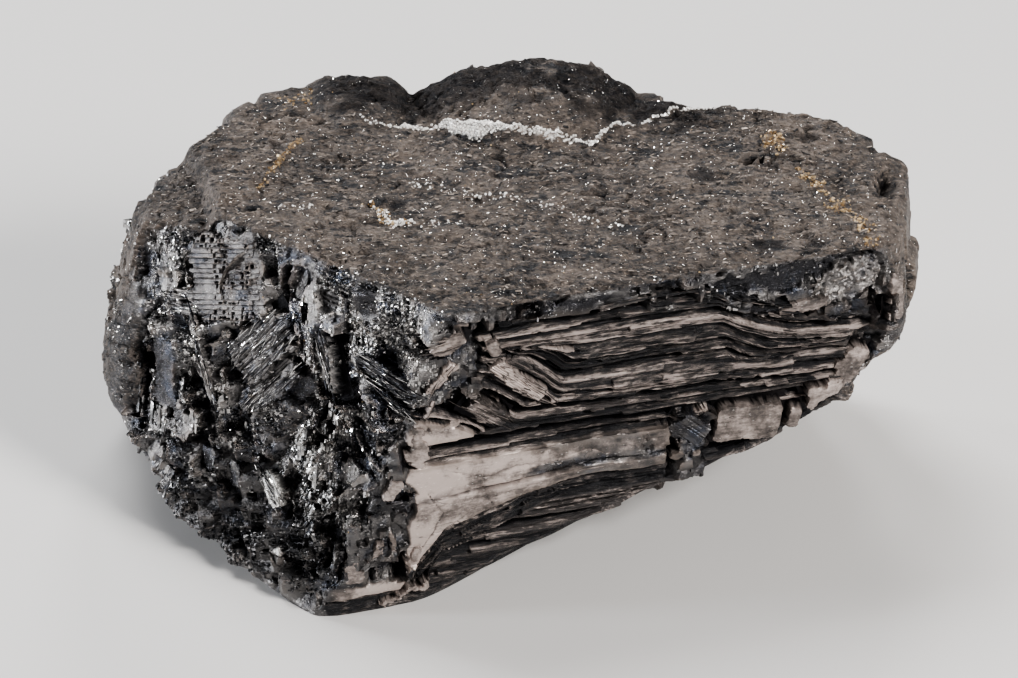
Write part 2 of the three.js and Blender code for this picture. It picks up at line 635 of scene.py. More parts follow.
@dataclass(frozen=True)
class Cleavage:
    """The three cleavages at right angles that galena parts along.

    Space is split into blocks and chips in a turned lattice. A block is solid
    where its middle lies inside the natural face, give or take a random amount,
    and some chips borrow a neighbouring block's answer.
    """

    yaw: float = BAND_YAW
    pitch: float = 0.0
    roll: float = 0.0
    block: Triple = (4.6, 2.6, 4.2)
    chip: Triple = (1.15, 0.7, 1.05)
    ragged: float = 1.3
    chipped: float = 0.9
    chip_share: float = 0.35
    bury: float = 0.9
    seed: int = 3
    walk: Triple = (1.6, -3.6, 0.2)  # start, end and step of the walk inwards
    halvings: int = 5

    def axes(self) -> Array:
        """Gives the lattice's own directions, turned by the yaw, pitch and roll.

        Returns:
            Three unit vectors, one to a row."""
        y, p, r = (math.radians(a) for a in (self.yaw, self.pitch, self.roll))
        turn = np.array([[math.cos(y), math.sin(y), 0], [-math.sin(y), math.cos(y), 0], [0, 0, 1]])
        tip = np.array([[math.cos(p), 0, -math.sin(p)], [0, 1, 0], [math.sin(p), 0, math.cos(p)]])
        bank = np.array([[1, 0, 0], [0, math.cos(r), math.sin(r)], [0, -math.sin(r), math.cos(r)]])
        return bank @ tip @ turn

    def blocks(self, points: Array) -> Array:
        """Finds the block that holds each point, after its chip's own shift.

        Args:
            points: the places.

        Returns:
            The blocks' whole-numbered coordinates."""
        local = points @ self.axes().T
        chip = np.floor(local / self.chip).astype(np.int64)
        middle = (chip + 0.5) * np.array(self.chip)
        shift = np.stack([chance(chip, self.seed + k) - 0.5 for k in (1, 2, 3)], -1)
        loose = chance(chip, self.seed + 4) < self.chip_share
        middle = middle + 2.0 * self.chipped * shift * loose[..., None]
        return np.floor(middle / self.block).astype(np.int64)

    def solid(self, points: Array, face: Face) -> Array:
        """Says which points lie in a block that belongs to the stone.

        Args:
            points: the places.
            face: the natural face that cuts the lattice off.

        Returns:
            True where there is stone."""
        block = self.blocks(points)
        middle = ((block + 0.5) * np.array(self.block)) @ self.axes()
        depth = face.reach - (middle - HEART) @ face.normal
        return depth > self.bury + 2.0 * self.ragged * (chance(block, self.seed) - 0.5)

    def relief(self, points: Array, outward: Array, face: Face) -> tuple[Array, Array]:
        """Finds the stair of blocks along each point's outward line.

        The line is walked inwards in even steps to the first solid place, and
        that step is then halved a few times.

        Args:
            points: places on the bare block.
            outward: the way out at each.
            face: their natural face.

        Returns:
            How far the stair stands proud, and a chance for each facet.
        """
        high, low, step = self.walk
        proud = np.full(len(points), low)
        found = np.zeros(len(points), bool)
        for reach in np.arange(high, low, -step):
            hit = ~found
            hit[hit] = self.solid(points[hit] + reach * outward[hit], face)
            proud[hit] = reach
            found |= hit
        outside = proud + step
        for _ in range(self.halvings):
            middle = (proud + outside) / 2.0
            inside = self.solid(points + middle[:, None] * outward, face)
            proud = np.where(inside, middle, proud)
            outside = np.where(inside, outside, middle)
        tone = chance(self.blocks(points + (proud - 0.05)[:, None] * outward), self.seed + 9)
        return proud, tone


@dataclass(frozen=True)
class Mosaic:
    """Grown-together crystals, each broken along one of a few turned lattices.

    Small steps of one chip or less roughen every facet.
    """

    size: float = 8.5
    seed: int = 301
    lattices: tuple[Cleavage, ...] = (
        Cleavage(BAND_YAW, 0, 0, (3.3, 2.1, 3.0), (1.1, 0.8, 1.0), 0.65, 0.6, 0.3, 0.7, 3),
        Cleavage(BAND_YAW + 24, 14, -9, (2.6, 2.6, 4.2), (0.9, 0.9, 1.2), 0.6, 0.6, 0.3, 0.65, 23),
        Cleavage(BAND_YAW - 27, -12, 18, (3.0, 2.3, 2.6), (1.0, 0.9, 0.9), 0.6, 0.5, 0.3, 0.65, 43),
        Cleavage(BAND_YAW + 7, 28, 12, (2.2, 2.4, 3.6), (0.8, 0.9, 1.2), 0.7, 0.7, 0.3, 0.7, 63),
    )
    step: float = 1.15
    step_height: float = 0.3

    def owner(self, points: Array) -> Array:
        """Says which lattice each point's crystal has.

        Args:
            points: the places.

        Returns:
            The lattices' numbers."""
        wander = np.stack([swell(points, 2.4, self.seed + k) for k in (50, 51, 52)], -1)
        _, _, chosen = scatter_cells(points + 0.9 * wander, self.size, self.seed)
        return np.minimum((chosen * len(self.lattices)).astype(int), len(self.lattices) - 1)

    def relief(self, points: Array, outward: Array, face: Face) -> tuple[Array, Array]:
        """Finds each crystal's own stair of facets along the outward lines.

        Args:
            points: places on the bare block.
            outward: the way out at each.
            face: their natural face.

        Returns:
            How far the surface stands proud, and a chance for each facet.
        """
        owner = self.owner(points)
        proud, tone = np.zeros(len(points)), np.zeros(len(points))
        for n, lattice in enumerate(self.lattices):
            own = owner == n
            if own.any():
                proud[own], tone[own] = lattice.relief(points[own], outward[own], face)
                place = points[own] + proud[own][:, None] * outward[own]
                cell = np.floor(place @ lattice.axes().T / (self.step * np.array([1.0, 0.8, 1.2])))
                lift = chance(cell.astype(np.int64), self.seed + 7)
                proud[own] += self.step_height * (lift - 0.6)
                tone[own] = 0.65 * tone[own] + 0.35 * lift
        return face.broken * proud, tone


@dataclass(frozen=True)
class Crust:
    """The dull weathered crust: thin streaky flakes, crevices, pits and grains."""

    flake: Triple = (3.0, 1.25, 1.6)  # size along, across and up
    layer: float = 0.15
    layers: float = 6.0  # how many rise above the middle one
    slow: float = 0.34
    crevice: float = 0.42
    chip: float = 0.62
    chip_height: float = 0.26
    grain_height: float = 0.16
    pit_spacing: float = 3.1
    pit_share: float = 0.16
    pit_depth: float = 0.6

    def relief(self, points: Array, paint: dict[str, Array]) -> Array:
        """Gives the crust's own surface.

        Layers are a rough field cut into levels, crevices run where another
        crosses nought, and small chips step up and down between them.

        Args:
            points: places on the crust.
            paint: the finish's masks, changed in place.

        Returns:
            How far the crust stands proud.
        """
        x, y, z = points.T
        bend = 0.6 * swell(points, 6.0, 40)
        plan = np.stack([x / self.flake[0], (y + bend) / self.flake[1], z / self.flake[2]], -1)
        rise = rough(plan, 1.0, 3, 41) * self.layers
        level = np.floor(rise)
        layers = self.layer * (level + ease(rise - level, 0.8, 1.0))
        slow = self.slow * swell(points, 8.0, 43) + 0.2 * swell(points, 2.6, 44)
        crack = np.abs(rough(plan * 0.8, 1.0, 3, 49))
        deep = ease(swell(points, 4.5, 50), -0.3, 0.5)
        crevice = ease(crack, 0.1, 0.0) * deep
        _, gap, owner = scatter_cells(np.stack([x / 1.9, y, z], -1), self.chip, 51)
        grain = self.chip_height * (owner - 0.5) * ease(gap, 0.0, 0.18)
        grain = grain + self.grain_height * swell(points, 0.5, 46)
        reach, _, share = scatter_cells(np.stack([x / 1.5, y], -1), self.pit_spacing, 47)
        reach = reach + 0.3 * swell(points, 0.8, 48)
        size = 0.25 + 0.75 * (share / self.pit_share)
        pit = (share < self.pit_share) * np.clip(1.0 - reach / size, 0.0, 1.0)
        hollow = np.maximum(ease(pit, 0.0, 0.3), crevice)
        # painted shade in the pits and crevices
        paint["dark"] = np.maximum(paint["dark"], 0.75 * hollow)
        paint["tone"] = np.clip(0.5 + 0.35 * (owner - 0.5) + 0.5 * rise / self.layers, 0.0, 1.0)
        return layers + slow + grain - self.crevice * crevice - self.pit_depth * pit**0.6


@dataclass(frozen=True)
class Fold:
    """A bend of the level bands, which slope left or right of a leaning axis.

    Their level there is the height less slope * distance past the axis, up to a
    longest distance, and the bend fades between each pair of heights.
    """

    at: Pair
    slant: float
    slope: float
    longest: float
    foot: Pair
    top: Pair
    leftward: bool

    def shift(self, along: Array, height: Array) -> Array:
        """Gives how much the level differs from the height.

        Args:
            along: distance along the bands.
            height: height on the stone.

        Returns:
            The difference, negative where the bands rise.
        """
        axis = self.at[0] + self.slant * (height - self.at[1])
        past = (axis - along) if self.leftward else (along - axis)
        past = 0.5 * (past + np.sqrt(past * past + 0.12))
        past = self.longest * np.tanh(past / self.longest)
        fade = ease(height, *self.foot) * ease(height, self.top[1], self.top[0])
        return -self.slope * past * fade


@dataclass(frozen=True)
class Bands:
    """The side of level cleavage bands: ledges, gaps, folds and a broad pale leaf."""

    # height on the stone, how far the band stands proud, how pale it is
    upper: tuple[Triple, ...] = (
        (40.0, 0.1, 0.0), (35.9, -0.1, 0.0), (35.7, -1.6, 0.0), (34.65, -1.9, 0.0), (34.5, -0.3, 0.6),
        (34.05, -0.35, 0.45), (33.85, -1.3, 0.05), (33.4, -1.3, 0.05), (33.2, 0.0, 0.75), (31.9, 0.15, 0.7),
        (31.65, -0.55, 0.22), (29.75, -0.35, 0.3), (29.55, -1.1, 0.0), (29.15, -1.1, 0.05),
        (28.95, -0.55, 0.2), (27.95, -0.6, 0.15), (27.75, -1.9, 0.0), (27.3, -1.9, 0.0), (27.1, -0.2, 0.6),
        (25.75, -0.15, 0.5), (25.55, -1.0, 0.05), (25.3, -1.0, 0.05), (25.15, -0.2, 0.5),
        (24.45, -0.25, 0.45), (24.2, -2.7, 0.0), (23.05, -2.7, 0.0), (22.85, -0.5, 0.35), (21.9, -0.6, 0.2),
        (21.7, -1.1, 0.05), (21.5, -0.6, 0.3), (20.75, -0.8, 0.15), (20.5, -2.6, 0.0), (19.6, -2.6, 0.0),
        (19.45, -0.8, 0.5), (19.2, -0.9, 0.45), (19.05, -2.2, 0.0), (18.8, -2.2, 0.0), (18.62, 0.2, 1.0),
        (0.0, 0.2, 1.0),
    )
    lower: tuple[Triple, ...] = (
        (20.0, -1.0, 0.2), (10.3, -1.0, 0.2), (10.2, -3.2, 0.0), (9.95, -3.2, 0.0), (9.85, -1.0, 0.5),
        (9.6, -1.1, 0.4), (9.5, -3.0, 0.0), (9.15, -3.0, 0.0), (9.05, -1.0, 0.55), (8.65, -1.1, 0.4),
        (8.5, -3.4, 0.0), (7.5, -3.4, 0.0), (7.3, -0.9, 0.7), (6.0, -1.1, 0.5), (5.8, -1.6, 0.2),
        (5.4, -0.9, 0.6), (3.4, -1.1, 0.5), (3.2, -1.4, 0.2), (2.9, -0.7, 0.6), (0.0, -0.6, 0.5),
    )
    lip: Path = (  # distance along, and level of the pale leaf's lower edge
        (-14.0, 2.0), (-11.5, 6.5), (-9.0, 9.5), (-5.0, 11.1), (0.0, 12.6), (4.0, 13.5), (8.0, 13.9),
        (16.0, 13.7), (50.0, 12.0),
    )
    parting: Path = (  # distance along, and level of the line that parts the leaf
        (-14.0, 13.6), (-7.5, 14.3), (0.0, 15.0), (8.0, 15.6), (16.0, 15.4), (50.0, 14.0),
    )
    pale_end: float = 16.0  # how far along the pale leaf ends
    leaf_top: Pair = (18.75, 18.62)  # the levels over which the pale leaf sets in
    upper_foot: Pair = (18.62, 18.72)  # and the upper bands
    folds: tuple[Fold, ...] = (
        Fold((3.4, 25.4), 0.28, 0.74, 10.0, (24.4, 25.2), (31.0, 33.9), True),
        Fold((-1.2, 22.4), 0.28, 0.7, 9.0, (21.2, 21.9), (33.0, 40.0), True),
        Fold((22.6, 28.0), -0.25, -0.95, 2.6, (25.0, 27.6), (34.0, 37.0), False),
        Fold((25.0, 28.0), 0.0, -0.3, 9.0, (25.0, 27.6), (34.0, 37.0), False),
    )
    second_fold_top: Pair = (24.3, -0.74)  # the second fold lies below this line
    # the level's waves: height, length along, length up and seed
    waves: tuple[tuple[float, float, float, int], ...] = ((0.2, 7.0, 3.0, 51), (0.07, 1.6, 0.9, 52))

    def level(self, along: Array, height: Array) -> Array:
        """Gives the bands' own level, which follows their waves and folds.

        Args:
            along: distance along the bands.
            height: height on the stone.

        Returns:
            The level, equal to the height where the bands run straight.
        """
        wave = sum(
            tall * swell(np.stack([along / run, height / rise], -1), 1.0, seed)
            for tall, run, rise, seed in self.waves
        )
        tilt = 0.045 * (along - 2.0) * ease(height, 20.8, 23.0) * ease(height, 28.0, 25.0)
        first, second, *right = (fold.shift(along, height) for fold in self.folds)
        line = self.second_fold_top[0] + self.second_fold_top[1] * (along - 2.0)
        bend = np.where(height > line, first, second)
        return height + wave + tilt + bend + sum(right)

    def strata(self, level: Array, along: Array, pitch: float, length: float, seed: int) -> Array:
        """Gives thin leaves of uneven depth and thickness, broken along their length.

        Each length of a leaf has its own chance, held over the leaf and eased to
        the next over a seventh of its pitch.

        Args:
            level: the bands' level.
            along: distance along the bands.
            pitch: mean thickness of a leaf.
            length: mean length before it breaks.
            seed: picks the leaves.

        Returns:
            Values from -1 to 1.
        """
        warped = level / pitch + 0.45 * swell(np.stack([level / pitch, along / 30.0], -1), 2.2, seed)
        row = np.floor(warped)
        part = ease(warped - row, 0.85, 1.0)
        out = np.zeros_like(level)
        for step, share in ((0, 1.0 - part), (1, part)):
            leaf = (row + step).astype(np.int64)
            start = chance(leaf[..., None], seed + 1) * 9.0
            broken = along / length + 0.5 * swell(np.stack([along, level], -1), 1.7, seed + 3) / length
            span = np.floor(broken + start).astype(np.int64)
            value = chance(np.stack([leaf, span], -1), seed + 2)
            out += share * (2.0 * value - 1.0)
        return out

    def under_leaf(self, s: Array, level: Array, drop: Array) -> tuple[Array, Array]:
        """Gives the side under the pale leaf: leaves fan out below its lip, then the lower bands.

        Args:
            s: distance along the bands.
            level: the bands' level.
            drop: how far the place lies below the lip.

        Returns:
            How far it stands proud, and how pale it is.
        """
        lower = np.array(self.lower)[::-1]
        below, below_pale = (np.interp(level, lower[:, 0], lower[:, n]) for n in (1, 2))
        coarse, fine = self.strata(drop * 1.4, s, 0.75, 9.0, 54), self.strata(drop * 1.4, s, 0.4, 14.0, 58)
        # paler and prouder towards the left end; the paleness is partly painted light
        near_end = ease(s, 2.0, -4.0)
        fan = -0.85 - 0.14 * np.clip(drop, 0, 3) + 0.35 * coarse + 0.3 * fine + 0.5 * near_end
        fan = fan - 0.9 * ease(drop, 0.7, 0.1)
        fan_pale = 0.16 * coarse + 0.14 * fine - 0.05 + 0.5 * near_end
        reach = 2.6 + 1.2 * ease(s, 4.0, -4.0)
        in_fan = ease(drop, reach + 0.2, reach)
        relief = mix(below + 0.3 * self.strata(level, s, 0.8, 8.0, 55), fan, in_fan)
        return relief, mix((0.3 + 0.4 * near_end) * below_pale, fan_pale, in_fan)

    def leaf(self, points: Array, s: Array, level: Array, lip: Array) -> tuple[Array, Array, Array]:
        """Gives the broad pale leaf, which is parted in two along its length.

        Args:
            points: places on the banded side.
            s: distance along the bands.
            level: the bands' level.
            lip: level of the leaf's lower edge.

        Returns:
            How far it stands proud, how pale it is, and how far off its parting is.
        """
        part_z = np.interp(s, *np.array(self.parting).T) + 0.12 * swell(s[:, None], 3.1, 63)
        off = np.abs(level - part_z)
        lower = ease(part_z - level, 0.0, 0.15)
        slope = 0.35 * ease(level, part_z - 0.2, lip) * lower
        relief = 0.1 + 0.3 * lower - slope - 0.5 * ease(off, 0.3, 0.0) * ease(s, -9.0, -3.0)
        relief = relief + 0.1 * swell(points, 3.0, 59) + 0.05 * swell(points, 1.1, 60)
        # darker towards the right end as painted shade, and in blotches and along some leaves as dirt
        shade_and_dirt = 0.6 * ease(s, -5.0, 9.0) + 0.4 * ease(rough(points, 4.0, 3, 64), -0.1, 0.5)
        shade_and_dirt = shade_and_dirt + 0.5 * ease(self.strata(level, s, 0.55, 12.0, 68), 0.3, 0.8) * ease(s, -8.0, 0.0)
        return relief, 1.0 - np.minimum(shade_and_dirt, 0.85), off

    def broken(self, points: Array, s: Array, level: Array) -> Array:
        """Says where the bands are broken away and the cleavage stair shows.

        Args:
            points: places on the banded side.
            s: distance along the bands.
            level: the bands' level.

        Returns:
            Values from 0 to 1.
        """
        loose = s + 0.9 * swell(points, 1.9, 65) + 0.3 * swell(points, 0.6, 66)
        ragged = loose + 2.2 * self.strata(level, 0.0 * s, 0.7, 9.0, 69)
        return np.maximum.reduce([
            ease(loose, -5.2, -5.8) * ease(level, 20.6, 21.2),
            ease(loose, -12.7, -13.3) * ease(points[:, 2], 3.2, 4.2),
            ease(loose, 16.4, 16.8) * ease(loose, 21.4, 20.8) * ease(level, 20.6, 20.0),
            ease(loose, 12.0, 14.0) * ease(level, 34.0, 34.6),
            ease(level, 35.5, 36.0),
            0.85 * ease(ragged, 35.5, 38.5),
        ])

    def relief(self, points: Array, paint: dict[str, Array], rough_side: Array) -> Array:
        """Gives the banded side's surface and paints its pale leaf, partly a painted reflection of the
        lights, and painted shade in its gaps.

        The upper profile ends at the top of the pale leaf, which runs down to its
        swept lip. Leaves fan out under the lip, and the lower profile follows.

        Args:
            points: places on the banded side.
            paint: the finish's masks, changed in place.
            rough_side: the cleavage stair, used where the bands are broken.

        Returns:
            How far the side stands proud.
        """
        s = points[:, 0] * YAW_COS + points[:, 1] * YAW_SIN
        level = self.level(s, points[:, 2])
        lip = np.interp(s, *np.array(self.lip).T) + 0.15 * swell(s[:, None], 2.3, 53)
        low, low_pale = self.under_leaf(s, level, lip - level)

        upper = np.array(self.upper)[::-1]
        above, above_pale = (np.interp(level, upper[:, 0], upper[:, n]) for n in (1, 2))
        fine, coarse = self.strata(level, s, 0.5, 15.0, 57), self.strata(level, s, 1.25, 21.0, 56)
        gap = ease(above, -1.0, -1.6)
        upper_side = above + (0.3 * coarse + 0.32 * fine) * (1.0 - 0.8 * gap)
        high = ease(level, *self.upper_foot)
        relief = mix(low, upper_side, high)
        pale = mix(low_pale, above_pale + (0.16 * coarse + 0.2 * fine) * (1 - gap), high)

        leaf, leaf_pale, off_parting = self.leaf(points, s, level, lip)
        is_leaf = ease(lip - level, 0.12, -0.05) * ease(level, *self.leaf_top)
        is_leaf = is_leaf * ease(s, self.pale_end + 0.3, self.pale_end - 0.2)
        relief = mix(relief, leaf, is_leaf)
        pale = mix(pale, leaf_pale, is_leaf)

        broken = self.broken(points, s, level)
        under = ease(level, 15.0, 13.0) * ease(s, 14.0, 17.0)
        relief = mix(relief, 0.8 * rough_side + 0.1 - 1.1 * under, broken)
        pale = pale * (1.0 - broken)
        paint["pale"] = np.clip(pale, 0.0, 1.0)
        # painted shade in the deep gaps, along the leaf's parting, between leaves and where the bands are
        # broken away
        paint["dark"] = np.maximum(ease(relief, -0.9, -1.7), 0.85 * ease(off_parting, 0.2, 0.02) * is_leaf)
        gaps = ease(0.6 * fine + 0.5 * coarse, -0.3, -0.75) * high
        paint["dark"] = np.maximum(paint["dark"], 0.6 * gaps * (1.0 - is_leaf))
        paint["dark"] = np.maximum(paint["dark"] * (1.0 - broken), 0.5 * broken)
        tint = self.strata(level, s, 0.9, 9.0, 61) * 0.5 + 0.5 * self.strata(level, s, 0.4, 5.0, 62)
        paint["tone"] = 0.5 + 0.5 * tint
        paint["band"] = (1.0 - is_leaf) * (1.0 - broken)
        paint["smooth"] = 1.0 - broken
        paint["level"] = level
        return relief


# ------------------------------------------------------------ marks, side by side

# On this side pale is partly a painted reflection of the lights, and dark is painted shade in gaps and
# hollows.
BANDED_SIDE = Side("banded side", (YAW_COS, YAW_SIN, 0.0), (0.0, 0.0, 1.0), (
    Patch("black block", (-9.6, 37.3), (1.2, 0.8), 6, -0.1, (0.2, 0.1), edge=0.12, tone=0.1),
    Patch("top block", (-7.7, 36.9), (0.9, 0.55), 4, 0.1, (0.2, 0.1), edge=0.12, pale=0.6),
    Slab("block face", (-9.2, 34.9), (2.2, 1.0), 9, 0.3, (0.3, -0.2), ragged=0.4, groove=(0.9, 0.2),
        grain=(1.0, 0.1), pale=0.62, tone=0.6),
    Patch("block gap", (-5.3, 35.8), (0.3, 1.9), 4, -2.2, dark=0.9),
    Gap("under the block", (-9.0, 33.5), (2.6, 0.2), 9, -1.2, edge=0.15),
    Slab("upright leaf", (-4.0, 33.1), (0.75, 1.3), 12, 0.2, (0.3, 0.2), 0.2, ragged=0.4, square=3,
        grain=(0.8, 0.15), pale=0.6),
    Slab("leaning slab", (-9.8, 30.5), (2.4, 0.75), 52, 0.5, (0.1, 0.35), ragged=0.4, square=7,
        groove=(0.5, 0.25), grain=(0.9, 0.12), pale=0.8),
    Slab("low slab", (-10.8, 26.8), (1.7, 0.45), 66, 0.3, (0.2, 0.3), ragged=0.4, groove=(0.4, 0.2),
        pale=0.75),
    Patch("thin ridge", (-9.0, 28.6), (1.6, 0.16), 16, 0.3, edge=0.1, pale=0.7),
    Gap("dark wedge", (-8.1, 26.4), (1.5, 1.6), 30, -2.0, edge=0.3),
    Patch("wedge lip", (-8.6, 23.5), (1.1, 0.4), 20, edge=0.15, pale=0.6),
    Slab("striated fan", (-4.6, 24.6), (2.5, 1.3), -36, 0.1, (0.1, 0.4), ragged=0.5, square=6,
        groove=(0.3, 0.3), grain=(0.9, 0.08), pale=0.42),
    Patch("fan edge", (-3.4, 25.9), (2.3, 0.14), -36, 0.4, edge=0.08, pale=0.85),
    Slab("folded slab", (-1.2, 28.3), (4.1, 1.05), -42, 0.4, (0.1, 0.25), square=7, groove=(0.3, 0.28),
        grain=(1.2, 0.06), pale=1.0, band=0.05),
    Slab("fold cap", (3.0, 32.0), (2.5, 0.34), -21, 0.55, (0.0, 0.3), ragged=0.4, square=3,
        groove=(0.25, 0.15), pale=1.0),
    Patch("glinting patch", (28.5, 36.2), (9.5, 1.8), 4, -0.7, edge=0.6, ragged=0.8, cover=0.55,
        bare=False, dark=0.45, tone=0.2, smooth=0),
    Patch("glinting inset", (26.4, 32.6), (2.6, 1.1), -12, -0.8, edge=0.25, ragged=0.9, cover=0.6,
        bare=False, dark=0.5, tone=0.2, smooth=0),
    Slab("curved island", (30.8, 32.2), (2.4, 1.4), 14, 0.2, (0.2, 0.3), 0.2, edge=0.12, ragged=0.8,
        square=2.6, grain=(1.0, 0.1), pale=0.6),
    Patch("island notch", (30.0, 31.6), (1.0, 0.5), 20, -0.7, ragged=0.6, dark=0.8),
    Patch("end of the leaf", (15.1, 17.1), (1.3, 2.1), 14, -0.1, (0.2, 0.1), 0.2, edge=0.3, ragged=0.8,
        square=3, grain=(0.9, 0.2), pale=0.45, dark=0.15),
    Slab("brushed fan", (18.5, 17.8), (2.3, 2.0), -42, 0.2, (0.2, 0.5), edge=0.12, ragged=0.5, square=4,
        groove=(0.35, 0.16), grain=(1.6, 0.08), pale=0.24, tone=0.4),
    Patch("fan crystals", (20.0, 20.3), (0.9, 0.5), 20, 0.4, (0.3, 0.2), edge=0.1, ragged=0.6,
        grain=(0.5, 0.3), pale=0.95),
    Patch("leaf end block", (17.1, 14.5), (0.8, 0.7), 30, 0.2, (0.2, 0.2), edge=0.12, pale=0.5),
    Patch("leaf end lobe", (18.3, 12.6), (1.2, 0.9), 20, -0.2, (0.2, 0.2), 0.3, square=3, pale=0.3),
    Patch("clear wedge", (19.4, 14.3), (0.6, 0.5), 30, 0.3, (0.3, 0.2), edge=0.1, pale=0.9),
    Gap("facet gap", (21.3, 16.6), (0.35, 2.0), 8, -1.6, edge=0.25),
    Slab("pale facet", (25.1, 17.6), (3.8, 2.6), -4, 0.35, (0.15, 0.25), ragged=0.2, square=8,
        grain=(2.4, 0.06), pale=0.56),
    Gap("facet crack", (29.2, 16.6), (0.3, 2.2), -14, -1.6, edge=0.15),
    Slab("facet chip", (30.4, 17.2), (0.9, 1.6), -10, 0.3, (0.2, 0.3), edge=0.12, grain=(0.9, 0.15),
        pale=0.55),
    Slab("pale lump", (33.9, 20.2), (2.2, 1.6), 20, 0.3, (-0.2, 0.3), 0.3, edge=0.12, ragged=0.7, square=4,
        grain=(1.2, 0.15), pale=0.66),
    Slab("upper pale lump", (36.8, 23.2), (1.3, 2.5), -24, 0.2, (0.2, 0.2), 0.2, edge=0.12, ragged=0.7,
        square=4, grain=(1.2, 0.15), pale=0.6),
    Gap("end hollow", (40.0, 29.6), (1.1, 2.2), 4, -2.0, edge=0.5),
    Slab("end slab", (42.6, 31.4), (1.3, 3.6), -6, 0.5, (0.3, 0.0), edge=0.15, square=6, grain=(1.6, 0.15),
        pale=0.6),
    Slab("wiry corner", (36.0, 34.8), (4.2, 2.4), 18, -0.1, edge=0.2, ragged=1.2, square=3,
        groove=(0.5, 0.18), grain=(0.6, 0.5), bare=False, tone=0.7, matte=0.3),
    Slab("corner leaf", (-13.2, 1.9), (3.5, 0.7), 23, 0.4, (0.1, 0.3), edge=0.12, ragged=1.0, square=3,
        groove=(0.5, 0.15), grain=(0.8, 0.35), pale=0.7),
    Gap("corner hollow", (-14.1, 5.4), (0.7, 1.9), -12, -1.8, edge=0.3, ragged=0.5, square=2.2),
    Slab("corner lobe", (-12.4, 7.1), (0.6, 1.3), -8, 0.3, (0.2, 0.0), 0.3, edge=0.12, square=2.4,
        pale=0.8),
    Slab("corner chip", (-15.2, 16.4), (0.9, 1.6), -20, 0.3, (0.3, 0.1), edge=0.12, ragged=0.5,
        grain=(0.8, 0.2), pale=0.7),
    Patch("corner splinter", (-15.0, 9.2), (0.45, 1.7), 8, 0.2, (0.2, 0.0), edge=0.12, pale=0.6),
), (
    Seam("corner curl", ((-13.6, 6.2), (-13.1, 5.2), (-12.0, 5.0), (-10.6, 6.8)), 0.35, 0.5,
        {"pale": 0.7, "dark": 0}),
    Seam("vein one", ((-8.5, 17.6), (-5.0, 15.8), (-1.0, 16.9), (4.0, 16.2)), 0.14, -0.12, {"pale": 0.6}),
    Seam("vein two", ((-5.1, 18.4), (-4.9, 14.6), (-3.6, 11.8)), 0.14, -0.12, {"pale": 0.6}),
    Seam("vein three", ((-11.0, 15.0), (-9.4, 12.2), (-10.4, 9.4), (-11.8, 7.6)), 0.16, -0.16,
        {"pale": 0.5}),
    Seam("vein four", ((-10.6, 9.0), (-7.8, 10.4), (-5.0, 12.4)), 0.14, -0.12, {"pale": 0.55}),
    Seam("vein five", ((-8.2, 13.6), (-3.0, 13.4), (3.0, 14.6), (9.0, 15.0)), 0.14, -0.1, {"pale": 0.6}),
    Seam("vein six", ((2.0, 18.3), (3.4, 17.0), (7.0, 17.4), (9.2, 16.4)), 0.14, -0.1, {"pale": 0.6}),
))
